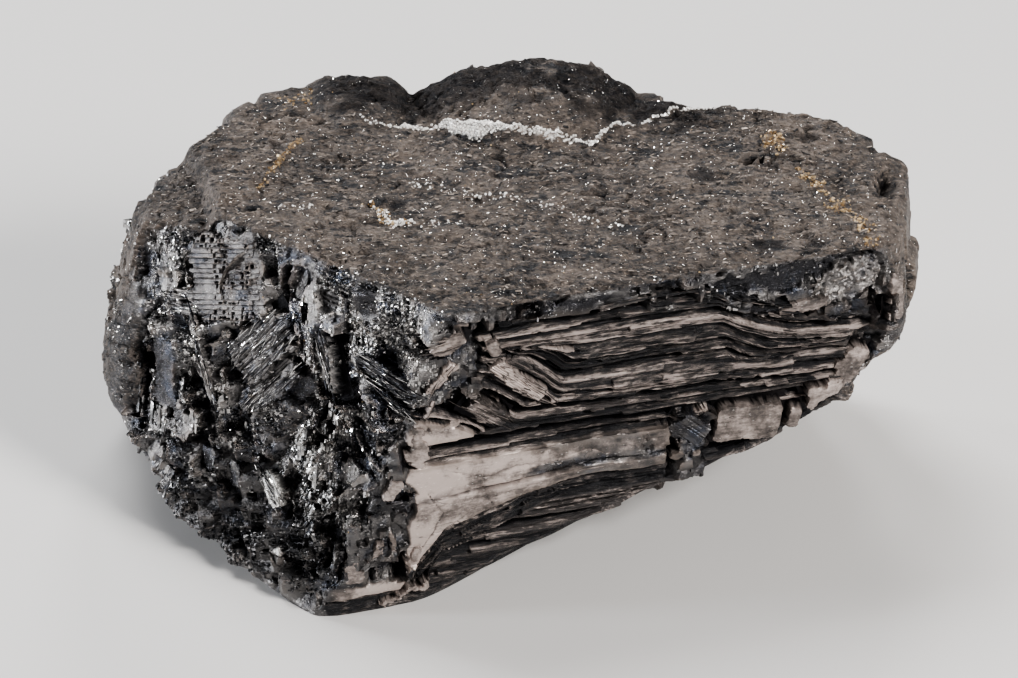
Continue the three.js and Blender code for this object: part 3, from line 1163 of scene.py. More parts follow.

# On this side white is painted glints and highlights on flashing facets, fins and edges, and dark is painted
# shade in gaps, slots, hollows and on the lower and left parts.
HACKLY_SIDE = Side("hackly side", (0.7804, -0.6253, 0.0), (0.1523, 0.1901, 0.9699), (
    # painted shade over the lower part, which is also matte
    Patch("dull shaded under-face", (-9.0, 0.0), (17.0, 6.5), -14, edge=3.0, ragged=1.5, cover=0.15, bare=False,
        matte=0.25, dark=0.42),
    Patch("left columns", (-32.6, 13.5), (3.6, 9.0), 8, 0.1, (0.0, 0.0), 0.5, edge=0.8, ragged=0.8,
        cover=0.85, groove=(2.3, 0.5), grain=(1.2, 0.25), bare=False, matte=0.85, dark=0.2),
    Patch("dark smooth face", (-25.8, 12.6), (2.1, 4.4), 10, -0.4, (0.5, 0.2), edge=0.5, cover=0.9,
        grain=(1.4, 0.12), matte=0.3, tone=0.25),
    Gap("left cleft", (-28.4, 10.8), (0.5, 6.4), 14, -2.6, edge=0.4, ragged=0.5),
    Patch("grainy band", (-2.0, 29.8), (12.5, 2.6), -9, -0.1, edge=0.8, ragged=0.9, cover=0.5, bare=False,
        silver=0.12, matte=0.2),
    Slab("pitted plate", (-19.2, 27.0), (5.4, 4.6), 20, 0.3, (0.3, -0.4), edge=0.12, ragged=0.8,
        pits=(0.56, 0.6, 0.75), grain=(1.5, 0.12), matte=0.4, tone=0.55),
    Patch("plate streak", (-18.6, 28.0), (3.6, 0.22), 58, 0.75, edge=0.1, tone=0.9, matte=0.3),
    Patch("plate hollow", (-16.6, 27.4), (2.0, 0.8), 34, -1.7, (0.4, 0.0), edge=0.15, dark=0.9),
    Slab("ruled ledges", (-23.6, 23.2), (2.9, 1.5), 12, 0.3, (0.0, -0.3), ragged=0.6, groove=(0.45, 0.7),
        grain=(0.8, 0.08), tone=0.7),
    Patch("white facet", (-26.0, 26.0), (0.8, 0.75), 10, 0.35, (0.3, 0.1), edge=0.12, silver=0.5),
    Patch("glint steps", (-28.0, 25.4), (1.0, 0.6), 20, 0.2, (0.2, 0.2), edge=0.12, bare=False, silver=0.4),
    Gap("hollow under ledges", (-22.6, 21.2), (1.3, 0.5), 10, -1.4),
    Slab("glassy bar", (-20.4, 16.9), (5.0, 0.75), -60, 0.7, (0.2, 0.25), 0.3, ragged=0.4,
        groove=(0.45, 0.3), grain=(0.7, 0.25), silver=0.3, pale=0.3, tone=0.9),
    Patch("bar flash", (-21.0, 19.1), (0.6, 0.3), 40, 1.1, (0.2, 0.1), edge=0.1, silver=0.9, ochre=0.15),
    Patch("second bar", (-17.0, 15.0), (1.9, 0.32), -66, 0.5, (0.1, 0.2), edge=0.15, bare=False,
        silver=0.4),
    Slab("upper striated plate", (-12.6, 20.8), (5.0, 2.9), 54, 0.6, (0.2, -0.5), ragged=1.1, square=3,
        groove=(0.42, 0.5), grain=(0.9, 0.12), matte=0.25, tone=0.6),
    Slab("lower striated plate", (-11.2, 16.2), (5.4, 1.5), 52, 0.1, (0.1, -0.3), ragged=1.0, square=3,
        groove=(0.36, 0.4), grain=(0.9, 0.12), matte=0.25, tone=0.45),
    Patch("dark smooth wedge", (-6.9, 17.8), (2.4, 1.5), 40, -0.5, (0.3, 0.3), edge=0.4, grain=(1.4, 0.1),
        matte=0.25, tone=0.15, dark=0.1),
    Patch("brown grainy patch", (-8.9, 13.2), (4.1, 2.6), 12, -0.1, edge=0.6, ragged=0.8, cover=0.5,
        grain=(0.7, 0.3), bare=False, matte=0.7, ochre=0.12),
    Slab("blue recess", (-9.0, 29.0), (1.0, 2.2), -6, -0.6, (0.4, 0.0), edge=0.2, grain=(0.9, 0.1),
        tone=0.6, matte=0.1),
    Gap("recess shade", (-10.9, 28.8), (0.45, 2.4), -4, -1.7, edge=0.25),
    Patch("ringed pit", (-4.9, 28.6), (1.6, 1.4), 0, -0.8, (0.0, 0.0), 0.5, edge=0.4, square=2.2,
        groove=(0.5, 0.35), dark=0.3),
    Patch("tooth", (-7.9, 23.7), (1.5, 0.35), -62, 0.8, (0.2, 0.1), edge=0.15, tone=0.8),
    Gap("crack by the leaf", (-6.4, 21.8), (5.4, 0.22), -50, -1.3, edge=0.15),
    Slab("leaf", (-3.9, 22.3), (4.3, 1.2), -62, 0.3, (0.1, 0.3), edge=0.3, ragged=0.6, square=2.3,
        groove=(0.34, 0.3), grain=(0.5, 0.3), bare=False, matte=0.4, tone=0.8),
    Slab("sweeping face", (4.4, 22.8), (5.2, 1.5), -8, -0.2, (0.2, 0.5), edge=0.12, square=3,
        groove=(0.95, 0.3), tone=0.25),
    Slab("lower sweeping face", (5.6, 20.2), (4.8, 0.9), -14, -0.6, (0.0, 0.4), edge=0.12,
        groove=(0.8, 0.3), tone=0.2),
    Patch("dark bowl", (2.6, 13.6), (3.2, 2.4), -20, -1.3, (0.3, 0.3), edge=0.5, ragged=0.6, cover=0.7,
        bare=False, dark=0.45, tone=0.2),
    Patch("bright chip", (6.6, 19.0), (0.5, 0.4), 20, 0.7, (0.2, 0.2), edge=0.1, silver=0.8),
    Slab("upright slab", (8.9, 15.6), (0.9, 3.1), -8, 0.4, (0.3, 0.0), ragged=0.7, square=6,
        grain=(0.9, 0.2), pale=0.62),
    Patch("upright slab foot", (7.9, 11.8), (0.8, 1.3), 6, 0.1, (0.3, 0.0), ragged=0.6, pale=0.65),
    Patch("brown leaf", (2.7, 10.4), (1.5, 0.45), 50, 0.2, (0.1, 0.2), edge=0.15, ochre=0.3, tone=0.8),
    Slab("mirror facet", (-8.1, 5.2), (1.9, 1.2), -36, 0.6, (0.35, 0.3), edge=0.08, ragged=0.7,
        groove=(0.9, 0.3), grain=(0.8, 0.15), silver=0.7, tone=1.0),
    Gap("mirror shadow", (-5.9, 4.2), (0.4, 2.3), -8, -1.7),
    Slab("blue facet left", (-14.0, 4.8), (1.2, 1.6), 8, -0.2, (0.5, 0.2), edge=0.12, grain=(0.8, 0.1),
        tone=0.35, dark=0.1),
    Slab("blue facet far left", (-17.9, 5.0), (1.4, 1.7), -6, -0.2, (0.4, 0.2), edge=0.12,
        grain=(0.8, 0.1), tone=0.35, dark=0.1),
    Patch("small mirror", (-6.0, -1.2), (0.6, 0.4), -52, 0.5, (0.2, 0.1), edge=0.1, silver=0.9),
    Gap("slot one", (0.2, 0.9), (0.42, 2.3), 2, -2.4),
    Gap("slot two", (2.0, -0.3), (0.45, 2.6), 3, -2.6),
    Patch("slot three", (-3.6, -0.8), (0.3, 2.3), 8, -1.6, dark=0.9),
    Slab("ridge between slots", (1.1, 0.6), (0.4, 2.4), 3, 0.2, (0.2, 0.0), grain=(0.6, 0.15), tone=0.5,
        dark=0.2),
    Slab("slot slab", (3.3, -2.2), (0.62, 1.9), 5, 0.5, (0.2, 0.0), ragged=0.4, grain=(0.8, 0.15),
        pale=0.6),
    Slab("slot slab two", (5.4, 0.4), (0.6, 2.0), -10, 0.3, (0.2, 0.0), edge=0.12, ragged=0.7,
        grain=(0.5, 0.35), pale=0.6),
), (
    Seam("fin one", ((-1.9, 16.8), (-2.9, 15.6), (-4.1, 12.6)), 0.3, 1.3, {"silver": 0.35, "dark": 0}),
    Seam("fin two", ((-1.8, 16.6), (-1.2, 15.0), (-1.9, 11.4)), 0.3, 1.3, {"silver": 0.3, "dark": 0}),
    Seam("fin three", ((-1.4, 16.8), (0.6, 14.9), (1.7, 12.6)), 0.25, 1.1, {"silver": 0.25, "dark": 0}),
    Seam("fin four", ((-1.0, 17.0), (2.4, 14.2), (5.4, 12.4)), 0.25, 1.0, {"dark": 0, "tone": 0.7}),
    Seam("black face edge", ((1.0, 17.6), (5.2, 17.2), (9.6, 18.6)), 0.3, 0.8, {"silver": 0.3}),
))

VEIN = ((-13.5, 17.4), (-12.3, 16.8), (-10.5, 17.0), (-8.3, 17.4), (-6.7, 17.1), (-4.1, 17.1), (-1.9, 15.7),
        (0.1, 14.8), (2.5, 14.5), (4.4, 14.3), (6.6, 13.9), (8.6, 14.0), (10.4, 14.0), (12.2, 13.0),
        (13.5, 14.7), (15.4, 16.0), (17.7, 16.9), (19.8, 18.6), (22.1, 20.3), (24.4, 21.6), (26.2, 20.7))

BEAD_LINES = (
    ((-7.4, 5.6), (-6.8, 4.3), (-4.4, 4.0), (-1.6, 3.3)),
    ((-0.6, 3.0), (2.8, 2.6), (5.9, 1.4), (8.8, -0.6)),
    ((10.2, -1.6), (13.0, -3.5), (15.9, -2.9)),
    ((-22.9, 0.0), (-17.8, 0.0)),
    ((-10.4, -1.7), (-9.6, -2.7), (-8.2, -3.1), (-5.9, -2.9), (-3.8, -2.3), (-2.0, -3.0)),
    VEIN[3:12],
    VEIN[4:9],
)

OCHRE_LINES = (
    ((-24.1, 4.3), (-22.1, 9.2), (-19.9, 13.2)),
    ((-12.4, 0.8), (-11.4, 0.1), (-10.4, -1.7), (-9.6, -2.7)),
    ((31.4, 13.0), (33.4, 11.3), (32.6, 14.9), (31.6, 13.8)),
    ((35.4, 7.6), (38.1, 2.3), (41.0, -1.6), (42.4, -6.3)),
)

# On this side white is partly a white vein and partly painted highlight, on the vein and the hump cap, and
# dark is painted shade in hollows and on the humps and shoulder.
CRUST_SIDE = Side("crust top", (1.0, 0.0, 0.0), (0.0, 1.0, 0.0), (
    Patch("shade on the humps", (2.0, 27.0), (30.0, 11.0), -4, edge=3.0, ragged=2.0, cover=0.0, bare=False,
        dark=0.8),
    Patch("shade on the shoulder", (-36.0, 6.0), (7.5, 14.0), -8, edge=3.0, ragged=2.0, cover=0.0,
        bare=False, dark=0.2),
    Patch("dark square", (24.1, 6.6), (1.5, 1.6), 8, -0.2, edge=0.5, ragged=0.7, cover=0.5, dark=0.7),
    Gap("hole", (29.2, 9.7), (1.7, 1.1), -20, -2.4, edge=0.8, ragged=0.7, square=2.4),
    Gap("small hole", (34.9, 3.9), (0.6, 0.5), 0, -1.2, edge=0.4, ragged=0.4, square=2.4),
    Patch("rim hollow", (35.8, -7.0), (1.5, 0.9), -30, -0.5, edge=0.5, ragged=0.7, cover=0.7, dark=0.8),
    Patch("edge hollow", (31.2, -7.3), (1.8, 0.9), 10, -0.4, edge=0.5, ragged=0.8, cover=0.7, dark=0.8),
    Gap("far hollow", (45.0, 7.2), (1.5, 3.6), -14, -2.6, edge=0.9, ragged=0.5),
    Patch("crystal seat", (32.4, 13.0), (1.5, 2.2), 16, 0.7, (0.0, 0.0), 0.5, edge=0.6, ragged=0.8,
        grain=(0.8, 0.4), ochre=0.5, tone=0.9),
    Patch("stain by the edge", (35.8, 6.4), (3.0, 1.6), -60, 0.1, edge=1.2, ragged=1.6, cover=0.3,
        ochre=0.5),
    Patch("stain down the end", (40.2, -1.4), (1.3, 5.5), 22, 0.1, edge=1.0, ragged=1.4, cover=0.3,
        ochre=0.55),
    Patch("stain at the rim", (42.6, -8.0), (1.0, 3.0), 14, edge=0.8, ragged=1.0, cover=0.3, ochre=0.55),
    Patch("hump cap", (7.2, 21.8), (2.2, 1.3), 4, 0.2, edge=1.0, ragged=1.2, cover=0.3, silver=0.25,
        tone=1.0),
    Patch("left hump cap", (-20.5, 22.5), (4.0, 3.0), 24, 0.2, edge=1.5, ragged=1.2, cover=0.3, ochre=0.3,
        tone=0.9),
), (
    Seam("scarp stain", ((-24.3, 3.9), (-22.1, 9.2), (-19.7, 13.6)), 0.4, 0.3, {"ochre": 0.7}, 0.6),
    Seam("white vein", VEIN[3:12], 0.75, 0.35, {"silver": 0.9, "dark": 0}, 0.9),
    Seam("thin vein", VEIN, 0.26, 0.25, {"silver": 0.5, "dark": 0}, 1.0),
    Seam("cluster vein", ((-11.7, 0.6), (-10.7, -1.2), (-9.4, -2.8), (-7.4, -3.1)), 0.7, 0.4,
        {"ochre": 0.5, "silver": 0.3, "dark": 0}, 0.8),
))


# ------------------------------------------------------------------- finishes

def coated(way: Callable, base: Value | tuple, *coats: tuple) -> Value | tuple:
    """Lays coats over a base by one way of mixing, each a share and what it brings."""
    return functools.reduce(lambda under, coat: way(coat[0], under, coat[1]), coats, base)


class Graph:
    """A shorthand for building a shader node tree."""

    def __init__(self, tree: Tree) -> None:
        """Takes the tree to build in."""
        self.tree = tree

    def node(self, kind: str, inputs: dict[str | int, object] | None = None, **settings: object) -> Node:
        """Adds a node.

        Args:
            kind: the node's type name.
            inputs: what goes into its sockets, by their name or number.
            **settings: its properties by name.

        Returns:
            The node.
        """
        made = self.tree.nodes.new(kind)
        for name, value in settings.items():
            setattr(made, name, value)
        for socket, value in (inputs or {}).items():
            self.join(value, made.inputs[socket])
        return made

    def join(self, source: Value | tuple, target: Socket) -> None:
        """Links a socket to another, or sets a plain value on it.

        Args:
            source: the socket or the value.
            target: the input that it goes into."""
        if isinstance(source, Socket):
            self.tree.links.new(source, target)
        else:
            target.default_value = source

    def attribute(self, name: str) -> Socket:
        """Reads a mask of the mesh."""
        return self.node("ShaderNodeAttribute", attribute_name=name).outputs["Fac"]

    def math(self, operation: str, a: Value, b: Value) -> Socket:
        """Does one sum of two values."""
        return self.node("ShaderNodeMath", {0: a, 1: b}, operation=operation).outputs[0]

    def times(self, a: Value, b: Value) -> Socket:
        """Multiplies two values."""
        return self.math("MULTIPLY", a, b)

    def plus(self, a: Value, b: Value) -> Socket:
        """Adds two values."""
        return self.math("ADD", a, b)

    def minus(self, a: Value, b: Value) -> Socket:
        """Takes the second value from the first."""
        return self.math("SUBTRACT", a, b)

    def most(self, a: Value, b: Value) -> Socket:
        """Gives the greater value."""
        return self.math("MAXIMUM", a, b)

    def vector(self, operation: str, inputs: dict[str | int, object]) -> Socket:
        """Does one sum of vectors, which go in by their name or number."""
        return self.node("ShaderNodeVectorMath", inputs, operation=operation).outputs[0]

    def ramp(
        self, value: Value, low: float, high: float, to_low: float = 0.0, to_high: float = 1.0
    ) -> Socket:
        """Eases a value from the range low to high over to another range."""
        inputs = {"Value": value, "From Min": low, "From Max": high, "To Min": to_low, "To Max": to_high}
        return self.node("ShaderNodeMapRange", inputs, interpolation_type="SMOOTHSTEP").outputs["Result"]

    def blend(self, share: Value, a: Socket | tuple, b: Socket | tuple) -> Socket:
        """Mixes two colours: a, and this share of b."""
        inputs = {"Factor": share, 6: rgba(a), 7: rgba(b)}
        return self.node("ShaderNodeMix", inputs, data_type="RGBA").outputs[2]

    def between(self, share: Value, a: Value, b: Value) -> Socket:
        """Mixes two values: a, and this share of b."""
        return self.node("ShaderNodeMix", {"Factor": share, 2: a, 3: b}, data_type="FLOAT").outputs[0]

    def place(self, stretch: Triple, turn: Triple = (0, 0, 0)) -> Socket:
        """Gives the object's own coordinates in millimetres.

        Args:
            stretch: scale along each axis, after the turn.
            turn: Euler angles in degrees.

        Returns:
            The coordinates.
        """
        source = self.node("ShaderNodeTexCoord").outputs["Object"]
        angles, scale = [math.radians(a) for a in turn], [METRE * s for s in stretch]
        turned = self.node("ShaderNodeMapping", {"Vector": source, "Rotation": angles}).outputs[0]
        return self.node("ShaderNodeMapping", {"Vector": turned, "Scale": scale}).outputs[0]

    def noise(self, where: Socket, scale: Value, detail: float = 3.0, gain: float = 0.6) -> Socket:
        """Gives rough noise from 0 to 1, of so many swells to a millimetre and octaves."""
        inputs = {"Vector": where, "Scale": scale, "Detail": detail, "Roughness": gain}
        return self.node("ShaderNodeTexNoise", inputs, normalize=True).outputs["Fac"]

    def cells(self, where: Socket, scale: Value, feature: str = "F1") -> bpy.types.NodeOutputs:
        """Splits space into cells, so many to a millimetre, and gives their node's outputs."""
        return self.node("ShaderNodeTexVoronoi", {"Vector": where, "Scale": scale}, feature=feature).outputs

    def group(self, tree: Tree, **values: Value) -> bpy.types.NodeOutputs:
        """Places a node group with these inputs by name, and gives its outputs."""
        return self.node("ShaderNodeGroup", values, node_tree=tree).outputs


def rgba(colour: Socket | tuple) -> Socket | tuple:
    """Gives a plain colour its alpha of 1, and leaves a socket as it is."""
    return colour if isinstance(colour, Socket) else (*colour[:3], 1.0)


def new_group(
    name: str, inputs: tuple[str, ...], outputs: tuple[str, ...]
) -> tuple[Graph, bpy.types.NodeOutputs, bpy.types.NodeInputs]:
    """Starts a shader node group that reads coordinates and plain values.

    Args:
        name: the group's name.
        inputs: the plain values' names. The coordinates are called Vector.
        outputs: what it gives. One called Normal is a vector.

    Returns:
        The graph to build it in, what comes in there and what goes out.
    """
    tree = bpy.data.node_groups.new(name, "ShaderNodeTree")
    for way, labels in (("INPUT", ("Vector", *inputs)), ("OUTPUT", outputs)):
        for label in labels:
            kind = "NodeSocketVector" if label in ("Vector", "Normal") else "NodeSocketFloat"
            tree.interface.new_socket(label, in_out=way, socket_type=kind)
    graph = Graph(tree)
    return graph, graph.node("NodeGroupInput").outputs, graph.node("NodeGroupOutput").inputs


def facets_group() -> Tree:
    """Makes the group that leans the surface in small flat cells, as crystal faces are.

    Returns:
        The group: Vector, Scale in cells to a millimetre and Tilt in, Normal out.
    """
    graph, start, end = new_group("facets", ("Scale", "Tilt"), ("Normal",))
    cells = graph.cells(start["Vector"], start["Scale"])
    lean = graph.vector("SUBTRACT", {0: cells["Color"], 1: (0.5, 0.5, 0.5)})
    sized = graph.vector("SCALE", {0: lean, "Scale": start["Tilt"]})
    surface = graph.node("ShaderNodeNewGeometry").outputs["Normal"]
    leaning = graph.vector("ADD", {0: surface, 1: sized})
    graph.join(graph.vector("NORMALIZE", {0: leaning}), end["Normal"])
    return graph.tree


def grain_group() -> Tree:
    """Makes the group of fine mineral grain.

    Returns:
        The group: Vector, Scale in grains to a millimetre and Share of bright
        ones in, Height and Speckle out. The bright ones are white specks painted as glints.
    """
    graph, start, end = new_group("grain", ("Scale", "Share"), ("Height", "Speckle"))
    coarse = graph.noise(start["Vector"], start["Scale"], 2.0, 0.65)
    cells = graph.cells(start["Vector"], start["Scale"])
    graph.join(graph.minus(coarse, graph.times(cells["Distance"], 0.35)), end["Height"])
    own = graph.node("ShaderNodeSeparateColor", {0: cells["Color"]}).outputs
    chosen = graph.math("LESS_THAN", own[0], start["Share"])
    small = graph.math("LESS_THAN", cells["Distance"], graph.times(own[2], 0.42))
    graph.join(graph.times(chosen, small), end["Speckle"])
    return graph.tree


def cracks_group() -> Tree:
    """Makes the group of thin wandering cracks, the edges of warped cells.

    Returns:
        The group: Vector and Scale in cells to a millimetre in, Line out.
    """
    graph, start, end = new_group("cracks", ("Scale",), ("Line",))
    noise = graph.node("ShaderNodeTexNoise", {"Vector": start["Vector"], "Scale": 0.5, "Detail": 3.0})
    shift = graph.vector("SCALE", {0: noise.outputs["Color"], "Scale": 3.0})
    warped = graph.vector("ADD", {0: start["Vector"], 1: shift})
    line = graph.ramp(graph.cells(warped, start["Scale"], "DISTANCE_TO_EDGE")["Distance"], 0.022, 0.0)
    there = graph.ramp(graph.noise(start["Vector"], 0.35, 2.0), 0.5, 0.62)
    graph.join(graph.times(line, there), end["Line"])
    return graph.tree


def cavity_group() -> Tree:
    """Makes the group that paints shade into hollows and a highlight on raised edges.

    Returns:
        The group: Vector in; the painted shade in hollows (Dust) and the painted highlight on raised edges
            (Edge) out.
    """
    graph, start, end = new_group("cavity", (), ("Dust", "Edge"))
    uneven = graph.minus(graph.noise(start["Vector"], 1.6, 3.0), 0.5)
    shaken = graph.plus(graph.attribute("hollow"), graph.times(uneven, 0.3))
    graph.join(graph.ramp(shaken, 0.05, 0.75), end["Dust"])
    graph.join(graph.ramp(shaken, -0.1, -0.6), end["Edge"])
    return graph.tree


@dataclass(frozen=True)
class Palette:
    """The stone's colours, as linear red, green and blue; the near-black is mostly for painted shade, the
    white partly for painted glints, and the pale tones are partly a painted reflection.
    """

    lead: Triple = (0.36, 0.345, 0.335)
    lead_dark: Triple = (0.06, 0.06, 0.066)
    lead_blue: Triple = (0.09, 0.11, 0.155)
    # pale tones, partly a painted reflection of the lights
    pale: Triple = (0.52, 0.445, 0.41)
    pale_mid: Triple = (0.17, 0.145, 0.133)
    pale_low: Triple = (0.045, 0.04, 0.038)
    crust: Triple = (0.082, 0.067, 0.057)
    crust_light: Triple = (0.26, 0.215, 0.185)
    crust_dark: Triple = (0.012, 0.013, 0.016)
    ochre: Triple = (0.24, 0.165, 0.075)
    rust: Triple = (0.11, 0.06, 0.026)
    # white: of the vein, and of painted glints and highlights
    silver: Triple = (0.9, 0.88, 0.85)
    # near-black: for painted shade, and for the dark of cracks and bands
    soot: Triple = (0.011, 0.011, 0.013)


@dataclass(frozen=True)
class StoneFinish:
    """The finish of the stone's own surface, from clear cleavage to dull crust, with painted shade in
    hollows and gaps, painted highlights on edges and painted glints.
    """

    name: str = "galena_surface"
    palette: Palette = Palette()
    facets: float = 2.0  # to a millimetre
    grain: float = 4.5  # to a millimetre
    # the bright grains are white specks painted as glints
    bright: float = 0.16  # share of bright grains
    bump: float = 0.28  # height of the finest relief

    def material(self, groups: Groups) -> Material:
        """Builds the material.

        Args:
            groups: the shared node groups by name.

        Returns:
            The material, which reads the masks that the mesh carries.
        """
        made = bpy.data.materials.new(self.name)
        made.use_nodes = True
        made.node_tree.nodes.clear()
        graph = Graph(made.node_tree)
        shader = graph.node("ShaderNodeBsdfPrincipled")
        graph.node("ShaderNodeOutputMaterial", {"Surface": shader.outputs[0]})
        colours = self.palette

        to_bands = (0.0, 0.0, -BAND_YAW)
        plain = graph.place((1.0, 1.0, 1.0))
        flaked = graph.place((0.5, 1.25, 1.4))
        along = graph.place((0.16, 0.9, 0.0), to_bands)
        lifted = graph.node("ShaderNodeCombineXYZ", {"Z": graph.times(graph.attribute("level"), 1.2)})
        layered = graph.vector("ADD", {0: along, 1: lifted.outputs[0]})

        grain = graph.group(groups["grain"], Vector=flaked, Scale=self.grain, Share=self.bright)
        cavity = graph.group(groups["cavity"], Vector=plain)
        uneven = graph.minus(graph.noise(plain, 2.2, 4.0, 0.7), 0.5)
        tone, band, dark, matte = (graph.attribute(name) for name in ("tone", "band", "dark", "matte"))

        def mask(name: str, low: float, high: float, shake: float) -> Socket:
            """Reads a mask and gives it a ragged edge.

            Args:
                name: the mask.
                low: where its edge begins.
                high: where it is full.
                shake: how far the edge wanders.

            Returns:
                The mask."""
            value = graph.attribute(name)
            ragged = graph.times(uneven, graph.ramp(value, 0.0, 0.3, 0.0, shake))
            return graph.ramp(graph.plus(value, ragged), low, high)

        crust = mask("crust", 0.22, 0.52, 0.9)
        ochre = mask("ochre", 0.3, 0.75, 1.3)
        # white: partly a white vein, partly painted glints and highlights
        silver = mask("silver", 0.3, 0.8, 1.2)

        # clear metal, in its facets' own tones, with a blue bloom here and there
        blotch = graph.noise(plain, 0.28, 3.0, 0.65)
        lead = coated(
            graph.blend,
            colours.lead_dark,
            (graph.ramp(tone, 0.15, 1.0), colours.lead),
            (graph.ramp(blotch, 0.5, 0.68, 0.0, 0.55), colours.lead_blue),
        )
        brown = graph.blend(graph.ramp(grain["Height"], 0.25, 0.55), colours.crust_dark, colours.crust)
        flecked = graph.ramp(graph.noise(flaked, 2.6, 2.0, 0.7), 0.5, 0.7, 0.0, 0.7)
        brown = graph.blend(flecked, brown, colours.crust_light)
        lead = graph.blend(graph.times(matte, 0.85), lead, brown)

        # level bands and the pale leaf, streaked along their own level; the pale tones are partly a painted
        # reflection of the lights
        streak = graph.noise(layered, 2.2, 4.0, 0.75)
        fine = graph.times(graph.minus(streak, 0.5), graph.between(band, 0.6, 3.2))
        cloudy = graph.times(graph.minus(graph.noise(plain, 0.45, 4.0, 0.7), 0.5), 1.6)
        pale = graph.plus(graph.attribute("pale"), graph.plus(fine, cloudy))
        pale = graph.minus(pale, graph.times(band, 0.2))
        satin = coated(
            graph.blend,
            colours.soot,
            (graph.ramp(pale, 0.0, 0.3), colours.pale_low),
            (graph.ramp(pale, 0.2, 0.6), colours.pale_mid),
            (graph.ramp(pale, 0.45, 0.95), colours.pale),
            (graph.times(band, 0.42), colours.soot),
        )
        leaf = graph.ramp(graph.plus(band, graph.attribute("pale")), 0.1, 0.5)
        cracks = graph.group(groups["cracks"], Vector=graph.place((0.4, 0.4, 1.1), to_bands), Scale=0.36)
        crack = graph.times(cracks["Line"], graph.ramp(band, 0.5, 0.1))
        satin = graph.blend(graph.times(crack, 0.85), satin, colours.soot)
        lead = graph.blend(leaf, lead, satin)

        # the dull crust, flecked light and dark
        fleck = graph.noise(flaked, 1.5, 5.0, 0.75)
        blots = graph.noise(graph.place((0.35, 0.9, 1.0)), 0.5, 4.0, 0.75)
        skin = coated(
            graph.blend,
            colours.crust_dark,
            (graph.ramp(fleck, 0.37, 0.55), colours.crust),
            (graph.ramp(fleck, 0.53, 0.7), colours.crust_light),
            (graph.ramp(graph.noise(plain, 0.1, 2.0, 0.6), 0.42, 0.66, 0.0, 0.3), colours.crust_light),
            (graph.ramp(blots, 0.55, 0.63, 0.0, 0.95), colours.crust_dark),
        )

        rust = graph.blend(graph.ramp(fleck, 0.42, 0.62), colours.rust, colours.ochre)
        wanted = graph.ramp(graph.attribute("crust"), 0.2, 0.9, 0.3, 1.0)
        # painted glints: white specks, mostly on the crust
        gleam = graph.times(grain["Speckle"], graph.times(wanted, graph.ramp(band, 0.6, 0.2)))
        # painted highlight on raised edges, paler on the bands
        lined = graph.ramp(pale, 0.1, 0.6, 0.1, 0.8)
        edge = graph.times(cavity["Edge"], graph.between(band, 0.4, lined))
        # painted shade: the hollows' shade from the cavity group and the dark mask, mostly painted shade,
        # taken to near-black
        soot = graph.most(graph.times(cavity["Dust"], 0.85), graph.times(dark, 0.96))
        colour = coated(
            graph.blend,
            lead,
            (crust, skin),
            (graph.times(ochre, 0.8), rust),
            (silver, colours.silver),
            (gleam, colours.silver),
            (edge, graph.blend(band, colours.crust_light, colours.pale)),
            (soot, colours.soot),
        )
        graph.join(colour, shader.inputs["Base Color"])

        metal = coated(
            graph.between, 1.0, (leaf, 0.45), (graph.times(matte, 0.7), 0.3), (crust, 0.3), (ochre, 0.1)
        )
        metal = graph.between(silver, graph.most(metal, gleam), 0.55)
        graph.join(graph.most(metal, soot), shader.inputs["Metallic"])

        shine = coated(
            graph.between,
            graph.ramp(tone, 0.0, 1.0, 0.16, 0.36),
            (leaf, 0.42),
            (matte, 0.5),
            (crust, 0.5),
            (silver, 0.2),
            (graph.times(soot, 0.6), 0.6),
        )
        shine = graph.plus(shine, graph.times(uneven, 0.3))
        graph.join(graph.between(gleam, shine, 0.18), shader.inputs["Roughness"])

        tilt = coated(graph.between, 0.3, (crust, 0.75), (leaf, 0.06), (graph.attribute("silver"), 0.7))
        facets = graph.group(groups["facets"], Scale=self.facets, Tilt=tilt, Vector=plain)
        streaky = graph.times(graph.times(streak, band), 1.8)
        flaking = graph.between(leaf, graph.ramp(graph.attribute("crust"), 0.2, 0.6, 0.35, 0.6), 0.1)
        flaky = graph.times(graph.plus(grain["Height"], fleck), flaking)
        height, distance = graph.plus(flaky, streaky), self.bump / METRE
        inputs = {"Strength": 1.0, "Distance": distance, "Height": height, "Normal": facets["Normal"]}
        graph.join(graph.node("ShaderNodeBump", inputs).outputs[0], shader.inputs["Normal"])
        return made


# ---------------------------------------------------------------- making meshes

PAINTS = ("crust", "pale", "dark", "ochre", "silver", "matte", "band", "tone", "level", "smooth", "hollow")


def link(name: str, data: bpy.types.ID) -> Piece:
    """Makes an object of a mesh, a light or a camera, and puts it in the scene.

    Args:
        name: the object's name.
        data: what it shows.

    Returns:
        The object.
    """
    made = bpy.data.objects.new(name, data)
    bpy.context.scene.collection.objects.link(made)
    return made


def aim(name: str, data: bpy.types.ID, target: Vector, way: Vector, reach: float) -> Piece:
    """Makes a light or a camera that looks back at a target.

    Args:
        name: the object's name.
        data: the light or the camera.
        target: what it looks at.
        way: the unit vector from there to it.
        reach: how far away it is.

    Returns:
        The object.
    """
    made = link(name, data)
    made.location = target + way * reach
    made.rotation_mode = "QUATERNION"
    made.rotation_quaternion = way.to_track_quat("Z", "Y")
    return made


